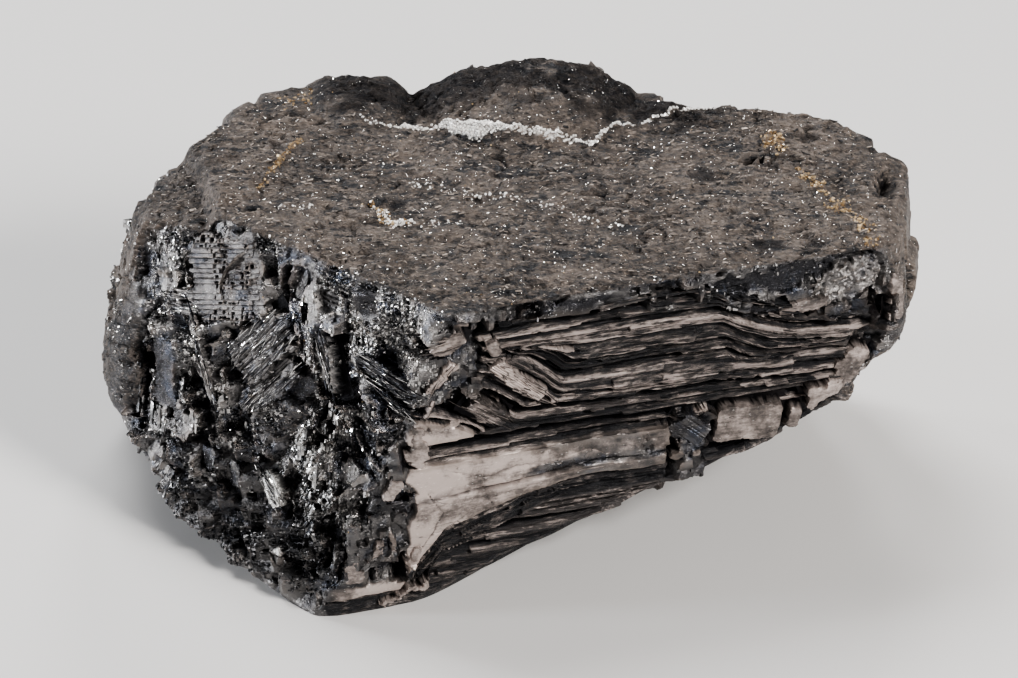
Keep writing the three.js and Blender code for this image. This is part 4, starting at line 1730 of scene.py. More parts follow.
def make_mesh(name: str, points: Array, quads: Array, masks: dict[str, Array], finish: Material) -> Piece:
    """Makes an object at the origin from points in millimetres.

    Args:
        name: the object's name.
        points: one to a row.
        quads: corners of each face.
        masks: values for each point by name.
        finish: its material.

    Returns:
        The object.
    """
    mesh = bpy.data.meshes.new(name)
    sides = quads.shape[1]
    mesh.vertices.add(len(points))
    mesh.vertices.foreach_set("co", (points / METRE).astype(np.float32).ravel())
    mesh.loops.add(quads.size)
    mesh.loops.foreach_set("vertex_index", quads.astype(np.int32).ravel())
    mesh.polygons.add(len(quads))
    mesh.polygons.foreach_set("loop_start", np.arange(0, quads.size, sides, dtype=np.int32))
    mesh.update(calc_edges=True)
    for label, values in masks.items():
        layer = mesh.attributes.new(label, "FLOAT", "POINT")
        layer.data.foreach_set("value", values.astype(np.float32))
    mesh.validate()
    mesh.polygons.foreach_set("use_smooth", np.zeros(len(mesh.polygons), bool))
    mesh.materials.append(finish)
    return link(name, mesh)


def bars(rings: Array) -> tuple[Array, Array]:
    """Joins rings of four corners into closed bars with flat ends.

    Args:
        rings: the corners by bar, station and corner, anticlockwise as seen
            from the bar's far end.

    Returns:
        The points, and the corners of each quad.
    """
    count, stations, corners, _ = rings.shape
    index = np.arange(count * stations * corners).reshape(count, stations, corners)
    after = np.roll(index, -1, axis=2)
    sides = np.stack([index[:, :-1], after[:, :-1], after[:, 1:], index[:, 1:]], -1).reshape(-1, 4)
    return rings.reshape(-1, 3), np.concatenate([sides, index[:, 0, ::-1], index[:, -1]])


def little_blocks(middles: Array, frames: Array, halves: Array, uneven: float, rng: Chance) -> Array:
    """Gives the rings of small six-sided blocks.

    Args:
        middles: each block's middle.
        frames: its own three axes, one to a row.
        halves: its half-widths along them.
        uneven: how far each corner is shifted, in half-widths.
        rng: the source of chance.

    Returns:
        The corners by block, end and corner.
    """
    turns = ((1, 1), (-1, 1), (-1, -1), (1, -1))
    unit = np.array([[(u, v, w) for u, v in turns] for w in (-1, 1)], float)
    unit = unit * (1.0 + uneven * rng.uniform(-1, 1, (len(middles), 2, 4, 3)))
    return middles[:, None, None] + np.einsum("nskj,njc->nskc", unit * halves[:, None, None], frames)


def make_blocks(name: str, blocks: Array, tone: Array, finish: Material) -> Piece:
    """Makes one piece of many small blocks, each in its own tone."""
    points, quads = bars(blocks)
    return make_mesh(name, inside_box(points), quads, {"tone": np.repeat(tone, 8)}, finish)


def frames_on(normals: Array, along: Array) -> Array:
    """Gives frames whose third axis is the normal and whose first is nearly along.

    Args:
        normals: the ways out.
        along: wished directions of the first axes.

    Returns:
        The frames, with their axes as rows.
    """
    third = normals / np.linalg.norm(normals, axis=1)[:, None]
    first = along - (along * third).sum(1)[:, None] * third
    first = first / np.linalg.norm(first, axis=1)[:, None]
    return np.stack([first, np.cross(third, first), third], 1)


def inside_box(points: Array) -> Array:
    """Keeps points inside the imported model's own box, in millimetres."""
    return np.clip(points, *(METRE * np.array(corner) for corner in CAD_BOX))


def smoothed(values: Array, times: int) -> Array:
    """Evens a grid out: each value moves towards the mean of its four neighbours.

    Args:
        values: the grid.
        times: how often this is done.

    Returns:
        The evened grid."""
    out = np.pad(values, 1, mode="edge")
    for _ in range(times):
        mean = (out[:-2, 1:-1] + out[2:, 1:-1] + out[1:-1, :-2] + out[1:-1, 2:]) / 4.0
        out = np.pad(0.3 * out[1:-1, 1:-1] + 0.7 * mean, 1, mode="edge")
    return out[1:-1, 1:-1]


def apply_modifiers(piece: Piece) -> None:
    """Replaces the piece's mesh with what its modifiers make of it.

    Args:
        piece: the piece."""
    graph = bpy.context.evaluated_depsgraph_get()
    solved = piece.evaluated_get(graph)
    made = bpy.data.meshes.new_from_object(solved, preserve_all_data_layers=True, depsgraph=graph)
    old = piece.data
    piece.modifiers.clear()
    piece.data = made
    made.name = piece.name
    bpy.data.meshes.remove(old)


@dataclass(frozen=True)
class RayBox:
    """The box of rays that is thrown out from the heart, turned with the bands."""

    low: Triple = (-46.0, -27.0, -19.0)
    high: Triple = (46.0, 27.0, 24.0)
    spacing: Triple = (0.27, 0.27, 0.21)

    def rays(self, coarser: float = 1.0) -> tuple[Array, Array]:
        """Makes the box's surface as a grid of quads, each side facing out.

        Corners that sides share are found by their whole-numbered place on the
        box and kept once.

        Args:
            coarser: how many times wider the spacing is than set.

        Returns:
            The rays, and the corners of each quad.
        """
        low, high = np.array(self.low), np.array(self.high)
        counts = np.round((high - low) / (coarser * np.array(self.spacing))).astype(np.int64)
        places, quads, start = [], [], 0
        for axis in range(3):
            u, v = (axis + 1) % 3, (axis + 2) % 3
            for top in (0, 1):
                i, j = np.meshgrid(np.arange(counts[u] + 1), np.arange(counts[v] + 1), indexing="ij")
                spot = np.zeros(i.shape + (3,), np.int64)
                spot[..., u], spot[..., v], spot[..., axis] = i, j, counts[axis] * top
                index = start + np.arange(i.size).reshape(i.shape)
                corners = [index[:-1, :-1], index[1:, :-1], index[1:, 1:], index[:-1, 1:]]
                if not top:
                    corners = corners[::-1]
                quads.append(np.stack(corners, -1).reshape(-1, 4))
                places.append(spot.reshape(-1, 3))
                start += i.size
        spots, kept = np.unique(np.concatenate(places), axis=0, return_inverse=True)
        local = low + spots / counts * (high - low)
        turn = np.array([[YAW_COS, YAW_SIN, 0.0], [-YAW_SIN, YAW_COS, 0.0], [0.0, 0.0, 1.0]])
        return local @ turn, kept.reshape(-1)[np.concatenate(quads)]


@dataclass
class Stone:
    """The galena itself: the block with every face's broken surface on it."""

    block: Block = Block()
    crust: Crust = Crust()
    bands: Bands = Bands()
    hackles: Mosaic = Mosaic()
    cleaved: Mosaic = Mosaic(
        size=13.0,
        seed=401,
        lattices=(
            Cleavage(BAND_YAW + 9, 4, -5, (6.5, 5.0, 4.6), (1.2, 0.9, 1.1), 1.1, 0.8, 0.1, 1.0, 83),
            Cleavage(BAND_YAW - 21, 15, 8, (4.5, 4.0, 5.6), (0.9, 1.0, 1.1), 1.0, 0.8, 0.12, 0.9, 103),
        ),
        step=1.1,
        step_height=0.3,
    )
    ray_box: RayBox = RayBox()
    coarser: float = 1.0  # how many times wider the mesh is than the ray box says
    target: int = 196000  # triangles
    crease: float = 34.0  # degrees
    least_share: float = 0.02  # of a face at a place, for its surface to be worked out there
    hollow_passes: int = 14
    hollow_depth: float = 0.7  # millimetres that count as a full hollow
    plain_weight: float = 0.004  # how strongly plain parts are thinned before broken ones
    points: Array = field(default=None, repr=False)
    outward: Array = field(default=None, repr=False)
    normals: Array = field(default=None, repr=False)
    paint: dict[str, Array] = field(default_factory=dict, repr=False)
    skins: dict[Skin, Array] = field(default_factory=dict, repr=False)

    def skin_share(self, shares: Array, skin: Skin) -> Array:
        """Adds up the shares of the faces that have one skin."""
        return shares[:, [n for n, face in enumerate(self.block.faces) if face.skin is skin]].sum(1)

    def stair(self, points: Array, outward: Array, shares: Array, mosaic: Mosaic) -> tuple[Array, Array]:
        """Gives one mosaic's stair over all the faces, blended by their shares.

        Args:
            points: places on the bare block.
            outward: the way out at each.
            shares: each face's share there.
            mosaic: the crystals.

        Returns:
            How far it stands proud, and the facets' tones.
        """
        relief, tones, total = np.zeros(len(points)), np.zeros(len(points)), np.full(len(points), 1e-6)
        for n, face in enumerate(self.block.faces):
            near = shares[:, n] > 0.03
            if face.skin is Skin.CRUST or not near.any():
                continue
            proud, tone = mosaic.relief(points[near], outward[near], face)
            relief[near] += shares[near, n] * proud
            tones[near] += shares[near, n] * tone
            total[near] += shares[near, n]
        return relief, tones / total

    def shape(self, rays: Array, quads: Array) -> None:
        """Works out the finished surface and its masks.

        Each side's relief is laid along the blended outward way, in its share,
        and fades out where the stone meets its base.

        Args:
            rays: the ray box.
            quads: its faces.
        """
        points, shares, outward, on_base = self.block.along(rays)
        up = ~on_base
        paint = {name: np.zeros(len(points)) for name in PAINTS}
        paint["level"] = points[:, 2].copy()
        skins = {skin: self.skin_share(shares, skin) for skin in Skin}

        stair, tone = np.zeros(len(points)), np.full(len(points), 0.5)
        open_side = up & (skins[Skin.HACKLY] + skins[Skin.BANDED] > self.least_share)
        stair[open_side], tone[open_side] = self.stair(
            points[open_side], outward[open_side], shares[open_side], self.hackles)
        back = up & (skins[Skin.CLEAVED] > self.least_share)
        far, far_tone = self.stair(points[back], outward[back], shares[back], self.cleaved)
        share = skins[Skin.CLEAVED][back]
        stair[back] = stair[back] * (1 - share) + far
        tone[back] = mix(tone[back], far_tone, share)
        paint["tone"] = tone
        log.info("cleavage stairs worked out")

        relief = stair + 0.07 * swell(points, 1.1, 81) + 0.03 * swell(points, 0.5, 82)
        total = relief * skins[Skin.CLEAVED]
        for skin, side in ((Skin.CRUST, CRUST_SIDE), (Skin.BANDED, BANDED_SIDE), (Skin.HACKLY, HACKLY_SIDE)):
            near = up & (skins[skin] > self.least_share)
            weight = skins[skin][near]
            own = {name: values[near].copy() for name, values in paint.items()}
            if skin is Skin.CRUST:
                own["crust"] = np.ones(near.sum())
                surface = self.crust.relief(points[near], own)
            elif skin is Skin.BANDED:
                surface = self.bands.relief(points[near], own, stair[near])
            else:
                surface = relief[near]
            surface = side.mark(points[near], surface, own)
            total[near] += weight * surface
            for name, values in own.items():
                paint[name][near] += weight * (values - paint[name][near])
        log.info("sides marked")

        weathered = shares @ np.array([face.dull for face in self.block.faces])
        paint["crust"] = np.clip(paint["crust"] + weathered * up, 0.0, 1.0)

        total *= ease(points[:, 2], 0.0, 2.0)
        total[on_base] = 0.0
        points = points + total[:, None] * outward
        points[:, 2] += self.block.lift(points) * up
        points[:, 2] = np.maximum(points[:, 2], 0.0)
        paint["hollow"] = self.hollow(total, quads)
        self.points, self.outward, self.paint = inside_box(points), outward, paint
        self.skins = {skin: share * up for skin, share in skins.items()}

    def hollow(self, relief: Array, quads: Array) -> Array:
        """Says how far each point lies below its smoothed surroundings.

        Args:
            relief: how far each point stands proud.
            quads: the faces.

        Returns:
            Values from -1 on a raised edge to 1 in a hollow.
        """
        edges = np.concatenate([quads[:, [0, 1]], quads[:, [1, 2]], quads[:, [2, 3]], quads[:, [3, 0]]])
        count = sum(np.bincount(edges[:, end], minlength=len(relief)) for end in (0, 1))
        smooth = relief
        for _ in range(self.hollow_passes):
            total = np.bincount(edges[:, 0], smooth[edges[:, 1]], len(relief))
            total += np.bincount(edges[:, 1], smooth[edges[:, 0]], len(relief))
            smooth = 0.4 * smooth + 0.6 * total / count
        return np.clip((smooth - relief) / self.hollow_depth, -1.0, 1.0)

    def thin(self, piece: Piece, quads: int) -> None:
        """Thins the mesh where it is flat, and more at the back than in front.

        It is done in millimetres: in metres, steps this small pass for flats.

        Args:
            piece: the stone.
            quads: how many faces it has.
        """
        mesh = piece.data
        mesh.transform(Matrix.Scale(METRE, 4))
        plain = np.clip(0.2 + 0.8 * self.skins[Skin.CLEAVED] + 0.4 * self.skins[Skin.CRUST], 0.0, 1.0)
        group = piece.vertex_groups.new(name="plain")
        steps = np.round(plain * 10).astype(int)
        for step in range(1, 11):
            group.add(np.flatnonzero(steps == step).tolist(), step / 10, "REPLACE")
        thin = piece.modifiers.new("thin", "DECIMATE")
        thin.ratio = min(1.0, self.target / (2.0 * quads))
        thin.vertex_group = group.name
        thin.vertex_group_factor = self.plain_weight
        apply_modifiers(piece)
        piece.vertex_groups.clear()
        piece.data.transform(Matrix.Scale(1.0 / METRE, 4))

    def build(self, finish: Material) -> Piece:
        """Builds the stone's mesh, thinned where it is flat.

        Args:
            finish: its material.

        Returns:
            The piece.
        """
        rays, quads = self.ray_box.rays(self.coarser)
        self.shape(rays, quads)
        corner = self.points[quads]
        across = np.cross(corner[:, 2] - corner[:, 0], corner[:, 3] - corner[:, 1])
        normals = np.zeros_like(self.points)
        for k, side in itertools.product(range(3), range(4)):
            normals[:, k] += np.bincount(quads[:, side], across[:, k], len(normals))
        self.normals = normals / np.maximum(np.linalg.norm(normals, axis=1), 1e-9)[:, None]
        piece = make_mesh("galena_stone", self.points, quads, self.paint, finish)
        self.thin(piece, len(quads))
        mesh = piece.data
        smooth = np.zeros(len(mesh.vertices), np.float32)
        mesh.attributes["smooth"].data.foreach_get("value", smooth)
        corners, starts = np.zeros(len(mesh.loops), np.int32), np.zeros(len(mesh.polygons), np.int32)
        mesh.loops.foreach_get("vertex_index", corners)
        mesh.polygons.foreach_get("loop_start", starts)
        mesh.polygons.foreach_set("use_smooth", np.maximum.reduceat(smooth[corners], starts) > 0.5)
        mesh.set_sharp_from_angle(angle=math.radians(self.crease))
        return piece

    def pick(self, wanted: Array, count: int, rng: Chance) -> Array:
        """Picks points of the stone by how much each is wanted. One may come up again."""
        return rng.choice(len(self.points), count, p=wanted / wanted.sum())


@dataclass(frozen=True)
class Shards:
    """Small cleavage blocks that stand half out of the broken sides."""

    name: str = "cleavage_chips"
    count: int = 12500
    size: Pair = (0.04, 0.17)
    shape: Triple = (1.0, 1.0, 1.0)
    heights: Pair = (1.5, 60.0)
    on_bands: float = 0.4
    uneven: float = 0.25
    sunk: float = 0.3
    facing: float = -1.0  # how far the surface has to face up
    seed: int = 501
    cluster: float = 3.2
    on_back: float = 0.2

    def build(self, stone: Stone, finish: Material) -> Piece:
        """Builds the blocks, each turned as its own crystal is.

        Args:
            stone: the finished stone.
            finish: their material.

        Returns:
            The piece.
        """
        rng = np.random.default_rng(self.seed)
        z = stone.points[:, 2]
        broken = stone.skins[Skin.BANDED] * (stone.paint["smooth"] < 0.3)
        wanted = stone.skins[Skin.HACKLY] + self.on_back * stone.skins[Skin.CLEAVED] + self.on_bands * broken
        wanted = wanted * (stone.paint["smooth"] < 0.5) * (1.0 - 0.8 * stone.paint["matte"])
        wanted = wanted * np.clip(1.0 - 1.3 * stone.paint["crust"], 0.0, 1.0) * (stone.paint["dark"] < 0.8)
        wanted = wanted * (0.08 + 0.92 * ease(swell(stone.points, self.cluster, 507), -0.2, 0.4))
        wanted = wanted * (z > self.heights[0]) * (z < self.heights[1]) * (stone.outward[:, 2] > self.facing)
        seats = stone.pick(wanted, self.count, rng)
        lattices = np.array([lattice.axes() for lattice in stone.hackles.lattices])
        frames = lattices[stone.hackles.owner(stone.points[seats])]
        size = self.size[0] * (self.size[1] / self.size[0]) ** rng.uniform(0, 1, self.count)
        halves = size[:, None] * rng.uniform(0.4, 1.6, (self.count, 3)) * np.array(self.shape)
        middles = stone.points[seats] - self.sunk * size[:, None] * stone.normals[seats]
        blocks = little_blocks(middles, frames, halves, self.uneven, rng)
        # painted shade: chips darker lower down and where dark is painted
        lit = ease(z[seats], 2.0, 24.0) * (1.0 - 0.9 * stone.paint["dark"][seats])
        tone = (0.5 * stone.paint["tone"][seats] + 0.5 * rng.uniform(0, 1, self.count)) * (0.3 + 0.7 * lit)
        return make_blocks(self.name, blocks, tone, finish)


@dataclass(frozen=True)
class Flakes:
    """Thin flakes of the crust, lying nearly flat and mostly along the stone."""

    name: str = "crust_flakes"
    count: int = 6500
    length: Pair = (0.06, 0.34)
    width: Pair = (0.12, 0.4)  # as a share of the length
    thick: Pair = (0.02, 0.05)
    lean: float = 0.16
    yaw: Pair = (0.12, 0.5)  # mean and spread, in radians
    tone: Pair = (0.36, 0.26)  # mean and spread
    seed: int = 521

    def build(self, stone: Stone, finish: Material) -> Piece:
        """Builds the flakes on the crust.

        Args:
            stone: the finished stone.
            finish: their material.

        Returns:
            The piece.
        """
        rng = np.random.default_rng(self.seed)
        bare = (stone.skins[Skin.CRUST] > 0.7) & (stone.paint["dark"] < 0.4) & (stone.paint["silver"] < 0.3)
        seats = stone.pick(bare.astype(float), self.count, rng)
        yaw = rng.normal(*self.yaw, self.count)
        along = np.stack([np.cos(yaw), np.sin(yaw), np.zeros(self.count)], -1)
        flat = stone.normals[seats] + np.array([0.0, 0.0, 1.2])
        flat = flat / np.linalg.norm(flat, axis=1)[:, None] + rng.normal(0.0, self.lean, (self.count, 3))
        frames = frames_on(flat, along)
        length = self.length[0] * (self.length[1] / self.length[0]) ** (rng.uniform(0, 1, self.count) ** 1.4)
        width = length * rng.uniform(*self.width, self.count)
        halves = np.stack([length, width, rng.uniform(*self.thick, self.count)], -1)
        middles = stone.points[seats] + 0.02 * stone.normals[seats]
        blocks = little_blocks(middles, frames, halves, 0.3, rng)
        # painted shade: flakes darker where dark is painted
        tone = np.clip(rng.normal(*self.tone, self.count) - 0.5 * stone.paint["dark"][seats], 0, 1)
        return make_blocks(self.name, blocks, tone, finish)


@dataclass(frozen=True)
class Grains:
    """Small crystal grains, strewn thinly, gathered on a mark and beaded along lines."""

    name: str
    strewn: int
    gathered: int
    mark: str
    size: Pair
    bead: Pair
    open_side: float
    lines: tuple[Path, ...] = ()
    to_a_millimetre: float = 6.0
    near: float = 0.3
    seed: int = 541
    cluster: float = 9.0

    def build(self, stone: Stone, finish: Material) -> Piece:
        """Builds the grains.

        Args:
            stone: the finished stone.
            finish: their material.

        Returns:
            The piece.
        """
        rng = np.random.default_rng(self.seed)
        crusty = stone.skins[Skin.CRUST] > 0.5
        side = (stone.skins[Skin.HACKLY] > 0.5) & (stone.points[:, 2] > 2.0)
        thick = ease(swell(stone.points, self.cluster, self.seed), -0.6, 0.7)
        marked = np.where(stone.paint[self.mark] > 0.25, stone.paint[self.mark], 0.0) * crusty
        seats = [
            stone.pick(crusty * thick + self.open_side * side, self.strewn, rng),
            stone.pick(marked, self.gathered, rng),
        ]
        sizes = [rng.uniform(*self.size, self.strewn), rng.uniform(*self.bead, self.gathered)]
        crust = np.flatnonzero(crusty)
        for path in self.lines:
            length = sum(math.dist(a, b) for a, b in zip(path, path[1:]))
            close = np.flatnonzero(path_distance(stone.points[crust, :2], path)[0] < self.near)
            number = min(int(length * self.to_a_millimetre), len(close))
            seats.append(crust[rng.choice(close, number, replace=False)])
            sizes.append(rng.uniform(*self.bead, number))
        seats, sizes = np.concatenate(seats), np.concatenate(sizes)
        shape = (len(seats), 3)
        frames = frames_on(stone.normals[seats] + rng.normal(0, 0.5, shape), rng.normal(0, 1, shape))
        halves = sizes[:, None] * rng.uniform(0.5, 1.2, shape)
        blocks = little_blocks(stone.points[seats], frames, halves, 0.25, rng)
        return make_blocks(self.name, blocks, rng.uniform(0, 1, len(seats)), finish)


@dataclass(frozen=True)
class BandLeaves:
    """Thin broken leaves that stand out of the banded side along its levels."""

    count: int = 420
    stations: int = 22
    length: Pair = (1.2, 10.0)
    thickness: Pair = (0.02, 0.07)
    reach: Pair = (0.0, 0.3)
    heights: Pair = (19.2, 36.6)
    span: Pair = (-4.5, 35.0)
    root: float = 1.0  # how deep in the side a leaf begins
    paler: Pair = (0.1, 0.34)  # mean and spread
    passes: int = 8
    seed: int = 561

    def build(self, stone: Stone, finish: Material) -> Piece:
        """Builds the leaves, bent where the bands fold.

        A leaf's height is found by taking off its level's error again and again.

        Args:
            stone: the finished stone.
            finish: their material.

        Returns:
            The piece.
        """
        rng = np.random.default_rng(self.seed)
        t = np.linspace(0, 1, self.stations)[None]
        start = rng.uniform(*self.span, self.count)[:, None]
        length = self.length[0] * (self.length[1] / self.length[0]) ** rng.uniform(0, 1, self.count)
        s = np.minimum(start + length[:, None] * t, self.span[1] + t)
        target = rng.uniform(*self.heights, self.count)[:, None] + 0 * t
        z = target.copy()
        for _ in range(self.passes):
            z -= 0.7 * (stone.bands.level(s, z) - target)
        flat = np.stack([s, z], -1)
        bare = stone.block.seat(BANDED_SIDE.place(flat), np.zeros(s.shape)).reshape(-1, 3)
        paint = {name: np.zeros(len(bare)) for name in PAINTS}
        proud = stone.bands.relief(bare, paint, np.zeros(len(bare))).reshape(s.shape)

        end = np.sin(np.pi * t) ** 0.25
        wave = swell(np.stack([s, target * 3], -1), 0.8, self.seed)
        reach = rng.uniform(*self.reach, self.count)[:, None]
        outer = proud + (reach + 0.1 * wave) * end
        thick = rng.uniform(*self.thickness, self.count)[:, None] * (0.8 + 0.3 * wave) * (0.3 + 0.7 * end)
        rings = np.stack([
            stone.block.seat(BANDED_SIDE.place(flat + np.stack([0 * s, side * thick], -1)), out)
            for side, out in ((1, outer), (-1, outer), (-1, proud - self.root), (1, proud - self.root))
        ], 2)
        points, quads = bars(rings)
        own = paint["pale"].reshape(s.shape) + rng.normal(*self.paler, self.count)[:, None]
        masks = {name: np.zeros(len(points)) for name in PAINTS}
        masks["pale"] = np.repeat(np.clip(own, 0, 1).ravel(), 4)
        masks["band"], masks["tone"] = np.ones(len(points)), np.full(len(points), 0.5)
        masks["level"] = np.repeat(target.ravel(), 4)
        return make_mesh("band_leaves", inside_box(points), quads, masks, finish)


@dataclass(frozen=True)
class Plate:
    """One slab as a plate of its own, closely meshed and sunk in the stone."""

    patch: Patch
    side: Side
    spacing: float = 0.13
    sunk: float = 1.3
    skirt: float = 0.5
    frayed: float = 0.22
    mottled: float = 0.3
    hollow_depth: float = 0.3

    def build(self, stone: Stone, finish: Material) -> Piece:
        """Builds the plate: a grid over the patch, closed by a flat back.

        Args:
            stone: the finished stone.
            finish: its material.

        Returns:
            The piece.
        """
        patch = self.patch
        reach = [half + self.skirt for half in patch.half]
        counts = [max(6, int(2 * r / self.spacing)) for r in reach]
        u, v = np.meshgrid(*(np.linspace(-r, r, n + 1) for r, n in zip(reach, counts)), indexing="ij")
        turn = math.radians(patch.turn)
        c, s = math.cos(turn), math.sin(turn)
        away = np.stack([u * c - v * s, u * s + v * c], -1)
        flat = np.array(patch.at) + away
        wander = self.side.wander(flat)
        mask, surface = patch.mask(flat + patch.ragged * wander), patch.surface(flat)
        flat = flat + self.frayed * (1.0 - mask[..., None]) * wander
        low = patch.proud - self.sunk
        proud = low + (surface - low) * mask
        proud[[0, -1]] = proud[:, [0, -1]] = low
        points = stone.block.seat(self.side.place(flat), proud, True).reshape(-1, 3)
        middle = stone.block.seat(self.side.place(np.array([patch.at])), np.array([low - 0.5]))
        index = np.arange(u.size).reshape(u.shape)
        quads = np.stack([index[:-1, :-1], index[1:, :-1], index[1:, 1:], index[:-1, 1:]], -1).reshape(-1, 4)
        rim = np.concatenate([index[:-1, 0], index[-1, :-1], index[:0:-1, -1], index[0, :0:-1]])
        rim = rim if len(rim) % 2 == 0 else rim[:-1]
        hub = np.full(len(rim) // 2, u.size)
        fan = np.stack([hub, np.roll(rim, -2)[::2], np.roll(rim, -1)[::2], rim[::2]], -1)
        masks = {name: np.full(u.size + 1, float(patch.paint.get(name, 0.0))) for name in PAINTS}
        masks["smooth"][:] = 1.0
        masks["level"][:-1] = flat[..., 1].ravel()
        masks["tone"][:-1] += self.mottled * swell(flat, 0.9, 91).ravel()
        # painted shade on the plate's rim, where it sinks into the stone
        masks["dark"][:-1] = np.maximum(masks["dark"][:-1], ease(mask, 0.98, 0.5).ravel())
        hollow = (smoothed(surface, 10) - surface) / self.hollow_depth
        masks["hollow"][:-1] = np.clip(hollow, -1, 1).ravel()
        name = f"plate_{patch.name.replace(' ', '_')}"
        everything = np.concatenate([points, middle])
        made = make_mesh(name, inside_box(everything), np.concatenate([quads, fan]), masks, finish)
        made.data.polygons.foreach_set("use_smooth", np.ones(len(made.data.polygons), bool))
        made.data.set_sharp_from_angle(angle=math.radians(stone.crease))
        return made


@dataclass(frozen=True)
class Ridges:
    """Straight thin ridges that stand along the grooves of one side's plates."""

    name: str
    side: Side
    to_a_square_millimetre: float = 3.0
    length: Pair = (0.3, 2.2)
    width: Pair = (0.02, 0.045)
    proud: Pair = (0.02, 0.1)
    deep: float = 0.195  # the shallowest groove that has them
    step: float = 0.05
    stray: float = 0.006
    seed: int = 571

    def build(self, stone: Stone, finish: Material) -> Piece:
        """Builds the ridges of every slab whose grooves are deep enough.

        Each lies along its slab's turned direction. The way across is found from
        places a short step away.

        Args:
            stone: the finished stone.
            finish: their material.

        Returns:
            The piece.
        """
        rng = np.random.default_rng(self.seed)
        rings, tones = [], []
        for patch in self.side.slabs:
            if patch.groove[1] < self.deep:
                continue
            count = int(4 * patch.half[0] * patch.half[1] * self.to_a_square_millimetre)
            turn = math.radians(patch.turn)
            ahead = np.array([math.cos(turn), math.sin(turn)])
            across = np.array([-ahead[1], ahead[0]])
            spot = rng.uniform(-1, 1, (count, 2)) * np.array(patch.half)
            flat = np.array(patch.at) + spot[:, :1] * ahead + spot[:, 1:] * across
            flat = flat[patch.mask(flat + patch.ragged * self.side.wander(flat)) > 0.95]
            middle, front, beside = (
                stone.block.seat(self.side.place(flat + step), patch.surface(flat), True)
                for step in (0.0 * ahead, self.step * ahead, self.step * across))
            along = front - middle + self.stray * rng.normal(0, 1, middle.shape)
            frames = frames_on(np.cross(along, beside - middle), along)
            share = rng.uniform(0, 1, (3, len(flat), 1))
            ranges = (self.length, self.width, self.proud)
            halves = np.concatenate([low + (high - low) * n**2 for n, (low, high) in zip(share, ranges)], 1)
            rings.append(little_blocks(middle, frames, halves, 0.2, rng))
            tones.append(rng.uniform(0, 1, len(flat)) ** 1.6)
        return make_blocks(self.name, np.concatenate(rings), np.concatenate(tones), finish)


@dataclass(frozen=True)
class SmallFinish:
    """The finish of small crystals, flakes and grains, from one colour to another."""

    name: str
    low: Triple
    high: Triple
    metallic: float
    roughness: Pair
    tilt: float = 0.12
    facets: float = 2.5  # to a millimetre

    def material(self, groups: Groups) -> Material:
        """Builds the material, which reads each small piece's own tone.

        Args:
            groups: the shared node groups by name.

        Returns:
            The material.
        """
        made = bpy.data.materials.new(self.name)
        made.use_nodes = True
        graph = Graph(made.node_tree)
        shader = made.node_tree.nodes["Principled BSDF"]
        plain = graph.place((1.0, 1.0, 1.0))
        noise = graph.minus(graph.noise(plain, 2.6, 2.0, 0.7), 0.5)
        shaken = graph.plus(graph.attribute("tone"), graph.times(noise, 0.8))
        colour = graph.blend(graph.ramp(shaken, 0.0, 1.0), self.low, self.high)
        graph.join(colour, shader.inputs["Base Color"])
        graph.join(graph.ramp(shaken, 0.0, 1.0, *self.roughness), shader.inputs["Roughness"])
        shader.inputs["Metallic"].default_value = self.metallic
        facets = graph.group(groups["facets"], Scale=self.facets, Tilt=self.tilt, Vector=plain)
        graph.join(facets["Normal"], shader.inputs["Normal"])
        return made


# -------------------------------------------------------------------- the studio


@dataclass(frozen=True)
class Lamp:
    """A soft square light that looks at the stone from a bearing and a rise."""

    name: str
    bearing: float
    rise: float
    reach: float
    size: float
    power: float
    colour: Triple = (1.0, 1.0, 1.0)

    def build(self, target: Vector) -> None:
        """Makes the lamp and points it at the target.

        Args:
            target: the stone's middle, in metres.
        """
        light = bpy.data.lights.new(self.name, "AREA")
        light.shape, light.size, light.energy, light.color = "SQUARE", self.size, self.power, self.colour
        aim(self.name, light, target, Vector(direction(self.bearing, self.rise)), self.reach)


